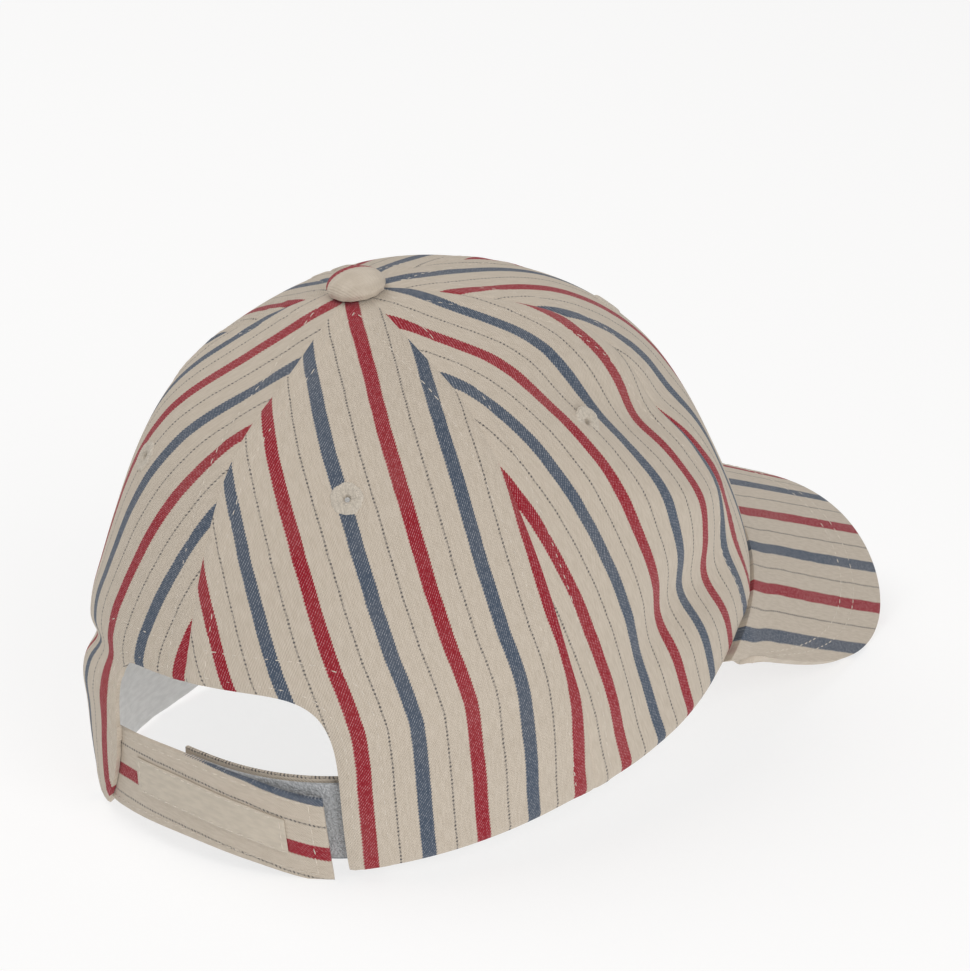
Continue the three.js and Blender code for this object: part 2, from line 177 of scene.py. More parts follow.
FOLDS = (
    Fold(((170, 53, 0.5), (178, 52, 1.2), (184, 51, 2.4), (190, 48.5, 4.0), (196, 43.5, 4.4),
          (202, 38.5, 5.0), (208, 36.5, 4.6), (216, 34, 3.4), (223, 32, 1.2)), 9.5),
    Fold(((182, 37, -0.9), (190, 31, -1.6), (196, 27.5, -2.2), (202, 23.5, -2.6), (208, 22, -2.0),
          (215, 20, -0.9)), 7.5),
    Fold(((175, 12, 0.8), (180, 13, 2.2), (184, 14, 3.9), (190, 14.5, 5.2), (196, 13.5, 5.5),
          (202, 11.5, 4.9), (208, 11, 3.2), (213, 9, 1.2)), 8.5),
    Fold(((164, 1, -1.1), (172, 0, -1.9), (181, 0, -1.8), (189, 0, -0.7), (197, 0, 0.6),
          (206, 0, 0.7)), 6.5),
    Fold(((-26, 0, 1.2), (-12, 0, 4.2), (8, 0, 6.4), (25, 0, 4.2), (40, 0, 1.2)), 30.0),
    Fold(((148, 10, -0.5), (160, 11, -1.7), (168, 10, -1.3)), 11.0),
    Fold(((158, 63, 0.7), (170, 64, 1.0), (180, 60, 0.7)), 14.0),
    Fold(((104, 16, 0.3), (128, 15, 0.7), (150, 14, 0.7)), 5.0),
    Fold(((38, 18.5, 1.6), (46, 20, 3.2), (54, 22, 2.8), (62, 22.8, 1.4), (70, 23.2, 0.5)), 3.2),
    Fold(((44, 15, -0.9), (54, 17, -1.3), (64, 18, -1.0)), 5.5),
    Fold(((44, 26, -0.5), (54, 28, -0.8), (65, 29, -0.5)), 6.0),
    Fold(((28, 41, 1.0), (42, 35, 1.8), (54, 30, 0.6)), 22.0),
    Fold(((340, 30, 1.2), (352, 24, 1.6), (364, 20, 1.0)), 7.0),
    Fold(((318, 22, 1.4), (328, 16, 1.8), (340, 13, 1.2)), 7.0),
)


@dataclass(frozen=True)
class CrownShape:
    """The crown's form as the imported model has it, with the cloth's finer relief on top."""

    half_width: float = 74.0
    half_length: float = 96.0
    roundness: float = 2.23
    height: float = 111.0
    set_back: float = 5.4
    front_rise: float = 19.5
    left_droop: float = 12.0
    wall: float = 1.6
    seam_gap: float = 0.3
    tip_radius: float = 2.0
    back: tuple[float, ...] = (1.0, 1.003, 0.998, 1.002, 0.965, 1.0)
    side: tuple[float, ...] = (1.0, 1.016, 1.034, 1.046, 0.997, 1.0)
    front: tuple[float, ...] = (1.0, 0.962, 0.99, 0.992, 0.982, 1.0)
    row_step: float = 18.0
    arch_half_width: float = 38.5
    arch_height: float = 45.3
    arch_squareness: float = 5.2
    arch_left_squareness: float = 9.0
    arch_left_lean: float = 13.0
    arch_lean_height: float = 26.0
    seam_row: float = 5.6
    seam_ridge: float = 0.3
    row_depth: float = 0.16
    hem_fall: float = 0.6
    hem_width: float = 0.9
    hem_turn: float = 126.0
    arch_rows: tuple[float, float] = (2.0, 8.0)
    stitch: float = 3.0

    def form(self, turn: np.ndarray, climb: np.ndarray) -> np.ndarray:
        """The crown's share of a plain half ellipsoid."""
        across = np.cos(np.radians(turn)) ** 2
        back = table_value(self.back, self.row_step, climb)
        front = table_value(self.front, self.row_step, climb)
        middle = np.where(np.sin(np.radians(turn)) > 0, back, front)
        return across * table_value(self.side, self.row_step, climb) + (1 - across) * middle

    def rim_rise(self, turn: np.ndarray) -> np.ndarray:
        """How high the rim's lower edge runs above the rim's plane."""
        forward = np.maximum(-np.sin(np.radians(turn)), 0)
        leftward = np.maximum(np.cos(np.radians(turn)), 0)
        return self.front_rise * forward**2 - self.left_droop * leftward**4

    def point(self, turn: np.ndarray, climb: np.ndarray) -> np.ndarray:
        """Points of the crown's outer face without folds or seams."""
        turn, climb = np.broadcast_arrays(np.asarray(turn, float), np.asarray(climb, float))
        east, north = np.cos(np.radians(turn)), np.sin(np.radians(turn))
        total = np.abs(east) ** self.roundness + np.abs(north) ** self.roundness
        form = self.form(turn, climb)
        spread = form * total ** (-1 / self.roundness) * np.cos(np.radians(climb))
        rise = np.sin(np.radians(climb))
        return np.stack(
            [
                self.half_width * east * spread,
                self.half_length * north * spread + self.set_back * rise**2,
                self.rim_rise(turn) * (1 - rise) + form * self.height * rise,
            ],
            -1,
        )

    def normal(self, turn: np.ndarray, climb: np.ndarray) -> np.ndarray:
        """Outward normals of the plain crown."""
        small = 0.5
        round_it = self.point(turn + small, climb) - self.point(turn - small, climb)
        upwards = self.point(turn, climb + small) - self.point(turn, climb - small)
        return unit(np.cross(round_it, upwards))

    def inside(self, turn: np.ndarray, climb: np.ndarray, depth: np.ndarray) -> np.ndarray:
        """Points a given depth inside the plain crown."""
        depth = np.asarray(depth, float)[..., None]
        return self.point(turn, climb) - self.normal(turn, climb) * depth

    def behind(self, turn: np.ndarray, climb: np.ndarray, depth: np.ndarray) -> np.ndarray:
        """Points a given depth behind the crown's cloth where it is folded."""
        return self.inside(turn, climb, depth + self.folds(self.point(turn, climb)))

    def per_degree(self, turn: np.ndarray, climb: np.ndarray) -> np.ndarray:
        """Millimetres along the cloth for one degree of turn."""
        step = self.point(turn + 0.5, climb) - self.point(turn - 0.5, climb)
        return np.linalg.norm(step, axis=-1)

    def arc(self, turn: np.ndarray, climb: np.ndarray, middle: float) -> np.ndarray:
        """The signed distance along the cloth from a panel's middle line, at one climb."""
        steps = 16
        shares = np.linspace(0, 1, steps + 1)
        turns = middle + (turn[..., None] - middle) * shares
        points = self.point(turns, np.broadcast_to(climb[..., None], turns.shape))
        length = np.linalg.norm(np.diff(points, axis=-2), axis=-1).sum(-1)
        return length * np.sign(turn - middle)

    def climb_arc(self, middle: float, climb: np.ndarray) -> np.ndarray:
        """The distance up the cloth from the rim, along a panel's middle line."""
        climbs = np.linspace(0, 90, 181)
        points = self.point(np.full_like(climbs, middle), climbs)
        return np.interp(climb, climbs, reach_along(points))

    def arch_side(self, height: np.ndarray, leftwards: np.ndarray) -> np.ndarray:
        """How far the arch's side stands from the middle, its left side leaning in upwards."""
        below = 1 - np.clip(height / self.arch_lean_height, 0, 1)
        return self.arch_half_width - self.arch_left_lean * (1 - below**2) * leftwards

    def arch_power(self, leftwards: np.ndarray) -> np.ndarray:
        """How square the arch's corner is on each side."""
        return np.where(leftwards, self.arch_left_squareness, self.arch_squareness)

    def arch_level(self, x: np.ndarray, z: np.ndarray) -> np.ndarray:
        """A measure that is 1 on the arch's edge, less inside it and more outside."""
        z = np.maximum(z, 0)
        power = self.arch_power(x > 0)
        across = np.abs(x) / self.arch_side(z, x > 0)
        return (across**power + (z / self.arch_height) ** power + 1e-12) ** (1 / power)

    def from_arch(self, points: np.ndarray) -> np.ndarray:
        """The distance from the arched opening's edge, negative inside it."""
        x, z = points[..., 0], points[..., 2]
        small = 0.01
        level = self.arch_level(x, z)
        slope_x = (self.arch_level(x + small, z) - level) / small
        slope_z = (self.arch_level(x, z + small) - level) / small
        return (level - 1) / np.maximum(np.hypot(slope_x, slope_z), 1e-6)

    def folds(self, points: np.ndarray) -> np.ndarray:
        """How far folds press the cloth in, at points of the plain crown."""
        total = np.zeros(points.shape[:-1])
        for fold in FOLDS:
            line = np.array(fold.line)
            along = np.linspace(0, len(line) - 1, 8 * len(line))
            turn, climb, depth = (np.interp(along, range(len(line)), column) for column in line.T)
            near = self.point(turn, climb)
            reach = np.linalg.norm(points[..., None, :] - near, axis=-1)
            weight = np.exp(-((reach / fold.width) ** 2))
            total += (weight**3 * depth).sum(-1) / np.maximum((weight**2).sum(-1), 1e-9)
        return total

    def relief(self, turn: np.ndarray, climb: np.ndarray, points: np.ndarray) -> np.ndarray:
        """How far seams, hems and stitching lift the cloth off the plain crown.

        Args:
            turn: turns of the points.
            climb: climbs of the points.
            points: the same points on the plain crown.

        Returns:
            The lift in millimetres, less than 0 where the cloth is drawn in.
        """
        scale = self.per_degree(turn, climb)
        off = np.min([np.abs(turn_between(turn, cut.start)) for cut in PANELS], axis=0) * scale
        along = self.climb_arc(self.hem_turn, climb)
        fade = smoothstep(90 - climb, 5, 14)
        groove = np.exp(-((off / 0.7) ** 2))
        ridge = self.seam_ridge * (1 - smoothstep(off, 4.6, 7.4)) - self.seam_ridge * groove
        channel = np.exp(-(((off - self.seam_row) / 0.7) ** 2))
        near = np.exp(-(((off - self.seam_row) / 2.2) ** 2))
        pucker = np.sin(2 * np.pi * along / self.stitch)
        slow = np.sin(along / 2.9 + turn * 0.7) + np.sin(along / 4.7 - turn * 0.4 + 1.3)
        lift = ridge - self.row_depth * channel + near * (0.05 * pucker + 0.07 * slow)
        lift = lift * fade
        lift -= self.hem_fall * np.exp(-((along / self.hem_width) ** 2))
        behind = points[..., 1] > 0
        off_arch = np.where(behind, np.maximum(self.from_arch(points), 0), 99)
        lift -= self.hem_fall * np.exp(-((off_arch / self.hem_width) ** 2))
        lift += 0.2 * (1 - smoothstep(off_arch, 7.6, 9.4))
        for row in self.arch_rows:
            lift -= self.row_depth * np.exp(-(((off_arch - row) / 0.6) ** 2))
        return lift

    def cloth(self, turn: np.ndarray, climb: np.ndarray, extra: float = 0.0) -> np.ndarray:
        """Points of the dressed outer face, with its folds, seams and hems.

        Args:
            turn: turns of the points.
            climb: climbs of the points.
            extra: a further lift off the cloth.

        Returns:
            The points in millimetres in the cap's frame.
        """
        plain = self.point(turn, climb)
        lift = self.relief(turn, climb, plain) - self.folds(plain) + extra
        return plain + self.normal(turn, climb) * lift[..., None]

    def at_back(self, x: np.ndarray, z: np.ndarray) -> tuple[np.ndarray, np.ndarray]:
        """The turn and climb of points of the back, by their place across and their height."""
        turn = np.degrees(np.arccos(np.clip(x / self.half_width, -0.95, 0.95)))
        climb = np.degrees(np.arcsin(np.clip(z / self.height, -0.05, 0.95)))
        small = 0.1
        for _ in range(8):
            here = self.point(turn, climb)
            round_it = (self.point(turn + small, climb) - here) / small
            up_it = (self.point(turn, climb + small) - here) / small
            miss_x, miss_z = x - here[..., 0], z - here[..., 2]
            cross = round_it[..., 0] * up_it[..., 2] - up_it[..., 0] * round_it[..., 2]
            turn = turn + (miss_x * up_it[..., 2] - up_it[..., 0] * miss_z) / cross
            climb = climb + (round_it[..., 0] * miss_z - miss_x * round_it[..., 2]) / cross
        return turn, climb


@dataclass(frozen=True)
class PeakShape:
    """The peak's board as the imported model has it.

    ease is the distance over which its under face turns square to its upper one, and tuck is how
    deep its inner edge reaches into the crown's cloth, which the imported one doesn't.
    """

    crown: CrownShape
    half_width: float = 71.0
    reach: float = 52.0
    shoulder: float = 50.0
    squareness: float = 3.0
    slope: float = 32.0
    camber: float = 55.0
    camber_power: float = 2.8
    thickness: float = 3.0
    ease: float = 16.0
    tuck: float = 0.3
    start: float = 199.0
    end: float = 341.0

    def height(self, x: np.ndarray, y: np.ndarray) -> np.ndarray:
        """The height of the bent board over the plan."""
        slope = math.tan(math.radians(self.slope)) * (y + self.crown.half_length)
        bend = (np.abs(x) / self.half_width) ** self.camber_power
        return self.crown.front_rise + slope - self.camber * bend

    def across(self, x: np.ndarray) -> np.ndarray:
        """The distance along its bent upper face from its middle line to a place across."""
        places = np.linspace(0, 1.05 * self.half_width, 400)
        bend = (places / self.half_width) ** (self.camber_power - 1)
        slope = self.camber_power * self.camber / self.half_width * bend
        steps = np.hypot(1, slope[1:]) * np.diff(places)
        reach = np.concatenate([[0], np.cumsum(steps)])
        return np.interp(np.abs(x), places, reach) * np.sign(x)

    def outline(self, share: np.ndarray) -> np.ndarray:
        """Points of its outer edge, from the wearer's right to the left."""
        east, north = np.cos(np.pi * share), np.sin(np.pi * share)
        power = 2 / self.squareness
        forward = self.crown.half_length + self.reach - self.shoulder
        x = -self.half_width * np.sign(east) * np.abs(east) ** power
        return np.stack([x, -self.shoulder - forward * np.abs(north) ** power], -1)

    def top(self, share: np.ndarray, out: np.ndarray) -> np.ndarray:
        """Points of its upper face, out running from 0 at the crown to 1 at its edge."""
        turn = self.start + (self.end - self.start) * share
        zero = np.zeros_like(turn)
        seat = self.crown.inside(turn, zero, zero + self.tuck)
        edge = self.outline(share)
        x = seat[..., 0] + (edge[..., 0] - seat[..., 0]) * out
        y = seat[..., 1] + (edge[..., 1] - seat[..., 1]) * out
        lift = seat[..., 2] + self.thickness / 2 - self.height(seat[..., 0], seat[..., 1])
        return np.stack([x, y, self.height(x, y) + lift * (1 - out) ** 2], -1)

    def normal(self, share: np.ndarray, out: np.ndarray) -> np.ndarray:
        """Upward normals of its upper face, from the bent board's own slopes."""
        x = self.top(share, out)[..., 0]
        bend = (np.abs(x) / self.half_width) ** (self.camber_power - 1)
        fall = self.camber * self.camber_power / self.half_width * bend * np.sign(x)
        rise = np.full_like(x, math.tan(math.radians(self.slope)))
        return unit(np.stack([fall, -rise, np.ones_like(x)], -1))

    def below(self, share: np.ndarray, out: np.ndarray, depth: float) -> np.ndarray:
        """Points a given depth under its upper face."""
        top = self.top(share, out)
        away = np.linalg.norm(top - self.top(share, np.zeros_like(share)), axis=-1)
        lean = smoothstep(away, 0, self.ease)[..., None]
        upwards = unit(np.array((0.0, 0.0, 1.0)) * (1 - lean) + self.normal(share, out) * lean)
        return top - upwards * depth


@dataclass(frozen=True)
class StrapShape:
    """The outer strap's run: its lower edge, and how it swings out towards its free end.

    line holds the lower edge's height above the rim every line_step degrees, as a share of the
    strap's height. press is how deep the floor flattens its free end.
    """

    crown: CrownShape
    height: float = 22.5
    wall: float = 1.2
    gap: float = 0.3
    bulge: float = 1.5
    start: float = 54.0
    swing_start: float = 70.0
    end: float = 117.5
    line: tuple[float, ...] = (0.02, 0.17, 0.21, 0.1, -0.13)
    line_step: float = 16.0
    press: float = 0.8

    def depth(self, turn: np.ndarray) -> np.ndarray:
        """The depth of its outer face inside the crown's."""
        swing = smoothstep(turn, self.swing_start, self.end)
        return self.crown.wall + self.gap - self.bulge * swing

    def low(self, turn: np.ndarray) -> np.ndarray:
        """The height of its lower edge."""
        return self.height * table_value(self.line, self.line_step, turn - self.start)


@dataclass(frozen=True)
class Placing:
    """Takes the cap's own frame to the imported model's, standing pitched back on its strap's end."""

    pitch: float
    drop: float
    shift_x: float
    shift_y: float

    @classmethod
    def of_model(cls, crown: CrownShape, peak: PeakShape, strap: StrapShape) -> "Placing":
        """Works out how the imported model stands.

        Args:
            crown: the crown's form.
            peak: the peak's form.
            strap: the outer strap's run.

        Returns:
            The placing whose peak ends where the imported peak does.
        """
        end = np.array(strap.end)
        climb = np.degrees(np.arcsin(strap.low(end) / crown.height))
        heel = crown.inside(end, climb, strap.depth(end))
        shares = np.linspace(0, 1, 25)
        low = peak.below(shares, np.ones(25), peak.thickness)
        pitch = float(np.arctan2(heel[2] - low[:, 2], heel[1] - low[:, 1]).max())
        drop = heel[2] * math.cos(pitch) - heel[1] * math.sin(pitch) + strap.press
        loose = cls(pitch, float(drop), 0.0, 0.0)
        edge = np.concatenate([low, peak.top(shares, np.ones(25))])
        least, most = (np.array(corner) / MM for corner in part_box("peak"))
        shift_y = float(least[1] - loose.turned(edge)[:, 1].min())
        return cls(pitch, float(drop), float(least[0] + most[0]) / 2, shift_y)

    def turned(self, points: np.ndarray) -> np.ndarray:
        """Points or directions pitched back."""
        cosine, sine = math.cos(self.pitch), math.sin(self.pitch)
        y, z = points[..., 1], points[..., 2]
        return np.stack([points[..., 0], y * cosine + z * sine, z * cosine - y * sine], -1)

    def moved(self, points: np.ndarray) -> np.ndarray:
        """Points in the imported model's frame, in metres."""
        return (self.turned(points) + (self.shift_x, self.shift_y, -self.drop)) * MM

    def standing(self, points: np.ndarray) -> np.ndarray:
        """Points as moved gives them, pressed flat where they meet the floor."""
        placed = self.moved(points)
        placed[..., 2] = np.maximum(placed[..., 2], 0)
        return placed


def alone(piece: bpy.types.Object) -> None:
    """Makes a piece the only selected and active one."""
    bpy.ops.object.select_all(action="DESELECT")
    piece.select_set(True)
    bpy.context.view_layer.objects.active = piece


def vertices(piece: bpy.types.Object) -> np.ndarray:
    """A piece's vertices as rows of x, y and z."""
    flat = np.empty(len(piece.data.vertices) * 3)
    piece.data.vertices.foreach_get("co", flat)
    return flat.reshape(-1, 3)


def grid(name: str, columns: int, rows: int) -> tuple[bpy.types.Object, np.ndarray, np.ndarray]:
    """Adds a flat grid as the start of a cloth piece.

    Args:
        name: the piece's name.
        columns: its cells across.
        rows: its cells upwards.

    Returns:
        The piece, and each vertex's share across and share upwards.
    """
    bpy.ops.object.select_all(action="DESELECT")
    bpy.ops.mesh.primitive_grid_add(x_subdivisions=columns, y_subdivisions=rows, size=1)
    piece = bpy.context.active_object
    piece.name = name
    piece.data.name = name
    flat = vertices(piece)
    return piece, flat[:, 0] + 0.5, flat[:, 1] + 0.5


def shape(piece: bpy.types.Object, points: np.ndarray) -> None:
    """Moves a piece's vertices to points in metres."""
    piece.data.vertices.foreach_set("co", np.asarray(points, float).ravel())
    piece.data.update()


def lay_cloth(piece: bpy.types.Object, across: np.ndarray, along: np.ndarray) -> None:
    """Writes the cloth's own coordinates, in millimetres, as the UV map named cloth."""
    mesh = piece.data
    while mesh.uv_layers:
        mesh.uv_layers.remove(mesh.uv_layers[0])
    layer = mesh.uv_layers.new(name="cloth")
    corners = np.empty(len(mesh.loops), int)
    mesh.loops.foreach_get("vertex_index", corners)
    layer.data.foreach_set("uv", np.stack([across, along], -1)[corners].ravel())


def thicken(
    piece: bpy.types.Object, wall: float, offset: float, edge: float = 0.0, back: int = 0
) -> None:
    """Gives a sheet its wall and rounds its edge, with the modifiers applied.

    Args:
        piece: the sheet.
        wall: its thickness in millimetres.
        offset: -1 to grow inwards, 0 both ways, 1 outwards.
        edge: the radius of its rounded edge, or 0.
        back: how many material slots further on the inner skin takes its finish.
    """
    alone(piece)
    solid = piece.modifiers.new("wall", "SOLIDIFY")
    solid.thickness = wall * MM
    solid.offset = offset
    solid.material_offset = back
    bpy.ops.object.modifier_apply(modifier=solid.name)
    if edge:
        bevel = piece.modifiers.new("edge", "BEVEL")
        bevel.width = edge * MM
        bevel.segments = 2
        bevel.limit_method = "ANGLE"
        bevel.angle_limit = math.radians(55)
        bpy.ops.object.modifier_apply(modifier=bevel.name)
    bpy.ops.object.shade_smooth_by_angle(angle=math.radians(50))


def finish_piece(piece: bpy.types.Object, finish: "Finish", *nodes: str) -> None:
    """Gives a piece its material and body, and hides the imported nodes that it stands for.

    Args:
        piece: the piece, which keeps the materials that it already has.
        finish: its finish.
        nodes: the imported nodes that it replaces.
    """
    if not piece.data.materials:
        piece.data.materials.append(finish.material())
    if nodes:
        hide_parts(*nodes)
    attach(piece, BODY)
    triangles = sum(len(face.vertices) - 2 for face in piece.data.polygons)
    LOG.info("%s: %d triangles", piece.name, triangles)


class Group:
    """Builds a shader node group with named sockets."""

    def __init__(self, name: str) -> None:
        """Starts an empty group."""
        self.tree = bpy.data.node_groups.new(name, "ShaderNodeTree")
        self.start = self.tree.nodes.new("NodeGroupInput")
        self.end = self.tree.nodes.new("NodeGroupOutput")

    def takes(self, name: str, kind: str, value: object = None) -> bpy.types.NodeSocket:
        """Adds an input and returns the socket inside the group."""
        socket = self.tree.interface.new_socket(name=name, in_out="INPUT", socket_type=kind)
        if value is not None:
            socket.default_value = value
        return self.start.outputs[name]

    def gives(self, name: str, kind: str, source: bpy.types.NodeSocket) -> None:
        """Adds an output fed by a socket."""
        self.tree.interface.new_socket(name=name, in_out="OUTPUT", socket_type=kind)
        self.tree.links.new(source, self.end.inputs[name])


@dataclass
class Wiring:
    """Adds nodes to a tree and links them."""

    tree: bpy.types.NodeTree

    def put(self, socket: bpy.types.NodeSocket, value: object) -> None:
        """Feeds a socket from another socket, or sets it to a constant."""
        if isinstance(value, bpy.types.NodeSocket):
            self.tree.links.new(value, socket)
        elif value is not None:
            socket.default_value = value

    def maths(self, operation: str, *values: object, clamp: bool = False) -> bpy.types.NodeSocket:
        """A Math node on sockets or numbers."""
        node = self.tree.nodes.new("ShaderNodeMath")
        node.operation = operation
        node.use_clamp = clamp
        for socket, value in zip(node.inputs, values):
            self.put(socket, value)
        return node.outputs[0]

    def mix(self, factor: object, first: object, second: object) -> bpy.types.NodeSocket:
        """A Mix node between two colours."""
        node = self.tree.nodes.new("ShaderNodeMix")
        node.data_type = "RGBA"
        self.put(node.inputs[0], factor)
        self.put(node.inputs[6], first)
        self.put(node.inputs[7], second)
        return node.outputs[2]

    def noise(self, vector: object, scale: float, detail: float = 2.0) -> bpy.types.NodeSocket:
        """A Noise Texture's value."""
        node = self.tree.nodes.new("ShaderNodeTexNoise")
        self.put(node.inputs["Vector"], vector)
        node.inputs["Scale"].default_value = scale
        node.inputs["Detail"].default_value = detail
        return node.outputs["Fac"]

    def ramp(self, value: object, low: float, high: float) -> bpy.types.NodeSocket:
        """A smooth rise from 0 at low to 1 at high."""
        node = self.tree.nodes.new("ShaderNodeMapRange")
        node.interpolation_type = "SMOOTHSTEP"
        self.put(node.inputs["Value"], value)
        node.inputs["From Min"].default_value = low
        node.inputs["From Max"].default_value = high
        return node.outputs["Result"]

    def stretched(self, vector: object, scale: tuple[float, float, float]) -> bpy.types.NodeSocket:
        """A vector scaled along its axes by a Mapping node."""
        node = self.tree.nodes.new("ShaderNodeMapping")
        self.put(node.inputs["Vector"], vector)
        node.inputs["Scale"].default_value = scale
        return node.outputs["Vector"]

    def grain(
        self, cloth: object, across: float, along: float, detail: float = 2.0
    ) -> bpy.types.NodeSocket:
        """Noise with a scale of its own across and along the cloth."""
        return self.noise(self.stretched(cloth, (across, along, 1)), 1.0, detail)

    def parts(self, vector: object) -> tuple[bpy.types.NodeSocket, bpy.types.NodeSocket]:
        """A vector's first two parts."""
        node = self.tree.nodes.new("ShaderNodeSeparateXYZ")
        self.put(node.inputs[0], vector)
        return node.outputs[0], node.outputs[1]


def twill_group() -> bpy.types.NodeTree:
    """The twill's diagonal ribs and its yarns' unevenness, shared by the striped finishes.

    Returns:
        A group that takes the cloth's coordinates in millimetres and gives Rib, Fleck and Slub.
    """
    name = "twill_ribs"
    if name in bpy.data.node_groups:
        return bpy.data.node_groups[name]
    group = Group(name)
    wire = Wiring(group.tree)
    vector = group.takes("Cloth", "NodeSocketVector")
    pitch = group.takes("Pitch", "NodeSocketFloat", 0.86)
    across, along = wire.parts(vector)
    wander = wire.grain(vector, 0.35, 0.35)
    slant = wire.maths("MULTIPLY", across, 1.25)
    phase = wire.maths("DIVIDE", wire.maths("SUBTRACT", along, slant), pitch)
    phase = wire.maths("ADD", phase, wire.maths("MULTIPLY", wander, 0.5))
    wave = wire.maths("SINE", wire.maths("MULTIPLY", phase, 2 * math.pi))
    rib = wire.maths("MULTIPLY_ADD", wave, 0.5, 0.5)
    yarn = wire.maths("SINE", wire.maths("MULTIPLY", across, 2 * math.pi / 0.42))
    dots = wire.maths("MULTIPLY_ADD", yarn, 0.16, rib)
    broken = wire.grain(vector, 1.5, 0.8)
    fleck = wire.maths("MULTIPLY", wire.ramp(dots, 0.7, 1.08), wire.ramp(broken, 0.34, 0.62))
    slub = wire.grain(vector, 2.0, 0.3)
    group.gives("Rib", "NodeSocketFloat", wire.maths("MULTIPLY_ADD", yarn, 0.12, rib))
    group.gives("Fleck", "NodeSocketFloat", fleck)
    group.gives("Slub", "NodeSocketFloat", slub)
    return group.tree


def stripe_group() -> bpy.types.NodeTree:
    """The stripes' masks across the cloth, with edges that step with the twill.

    Returns:
        A group that takes the cloth's coordinates in millimetres and gives Red, Blue and Thin.
    """
    name = "stripe_masks"
    if name in bpy.data.node_groups:
        return bpy.data.node_groups[name]
    group = Group(name)
    wire = Wiring(group.tree)
    vector = group.takes("Cloth", "NodeSocketVector")
    repeat = group.takes("Repeat", "NodeSocketFloat", 28.0)
    wide = group.takes("Wide", "NodeSocketFloat", 1.78)
    rib = group.takes("Rib", "NodeSocketFloat", 0.5)
    across, along = wire.parts(vector)
    wander = wire.grain(vector, 0.02, 0.12)
    across = wire.maths("ADD", across, wire.maths("MULTIPLY_ADD", wander, 0.6, -0.3))
    across = wire.maths("ADD", across, wire.maths("MULTIPLY_ADD", rib, 0.26, -0.13))
    share = wire.maths("FRACT", wire.maths("ADD", wire.maths("DIVIDE", across, repeat), 100.5))
    place = wire.maths("MULTIPLY", wire.maths("SUBTRACT", share, 0.5), repeat)
    away = wire.maths("ABSOLUTE", place)
    half = wire.maths("MULTIPLY", repeat, 0.5)
    quarter = wire.maths("MULTIPLY", repeat, 0.25)
    from_red = wire.maths("SUBTRACT", half, away)
    from_thin = wire.maths("ABSOLUTE", wire.maths("SUBTRACT", away, quarter))
    soft = 0.12
    for title, distance in (("Blue", away), ("Red", from_red)):
        inside = wire.maths("SUBTRACT", wide, distance)
        group.gives(title, "NodeSocketFloat", wire.ramp(inside, -soft, soft))
    dash = wire.maths("SINE", wire.maths("MULTIPLY", along, 2 * math.pi / 1.1))
    line = wire.ramp(wire.maths("SUBTRACT", 0.2, from_thin), -0.1, 0.1)
    thin = wire.maths("MULTIPLY", line, wire.maths("MULTIPLY_ADD", dash, 0.34, 0.6))
    group.gives("Thin", "NodeSocketFloat", thin)
    return group.tree


@dataclass(frozen=True)
class Finish:
    """What every finish has: a name, a slot, a main colour and how matt it is."""

    name: str
    slot: Slot
    colour: tuple[float, float, float] = (0.6, 0.55, 0.45)
    roughness: float = 0.9
    bump: float = 0.12

    def material(self) -> bpy.types.Material:
        """The finish as a material, made once.

        Returns:
            The material named after the finish.
        """
        if self.name in bpy.data.materials:
            return bpy.data.materials[self.name]
        material = bpy.data.materials.new(self.name)
        material.use_nodes = True
        shader = material.node_tree.nodes["Principled BSDF"]
        shader.inputs["Roughness"].default_value = self.roughness
        shader.inputs["Specular IOR Level"].default_value = 0.25
        self.dress(Wiring(material.node_tree), shader)
        return material

    def dress(self, wire: Wiring, shader: bpy.types.ShaderNode) -> None:
        """Adds the finish's own nodes."""
        raise NotImplementedError

    def bumped(self, wire: Wiring, shader: bpy.types.ShaderNode, height: object) -> None:
        """Feeds a height in millimetres to the shader's normal."""
        node = wire.tree.nodes.new("ShaderNodeBump")
        node.inputs["Strength"].default_value = 1.0
        node.inputs["Distance"].default_value = self.bump * MM
        wire.put(node.inputs["Height"], height)
        wire.put(shader.inputs["Normal"], node.outputs["Normal"])

    def cloth(self, wire: Wiring) -> bpy.types.NodeSocket:
        """The cloth's own coordinates in millimetres."""
        node = wire.tree.nodes.new("ShaderNodeUVMap")
        node.uv_map = "cloth"
        return node.outputs["UV"]

    def grouped(self, wire: Wiring, tree: bpy.types.NodeTree, **inputs: object) -> bpy.types.Node:
        """Places a node group and feeds its inputs."""
        node = wire.tree.nodes.new("ShaderNodeGroup")
        node.node_tree = tree
        for title, value in inputs.items():
            wire.put(node.inputs[title], value)
        return node


def rgba(colour: tuple[float, float, float]) -> tuple[float, float, float, float]:
    """A colour with full alpha."""
    return (*colour, 1.0)


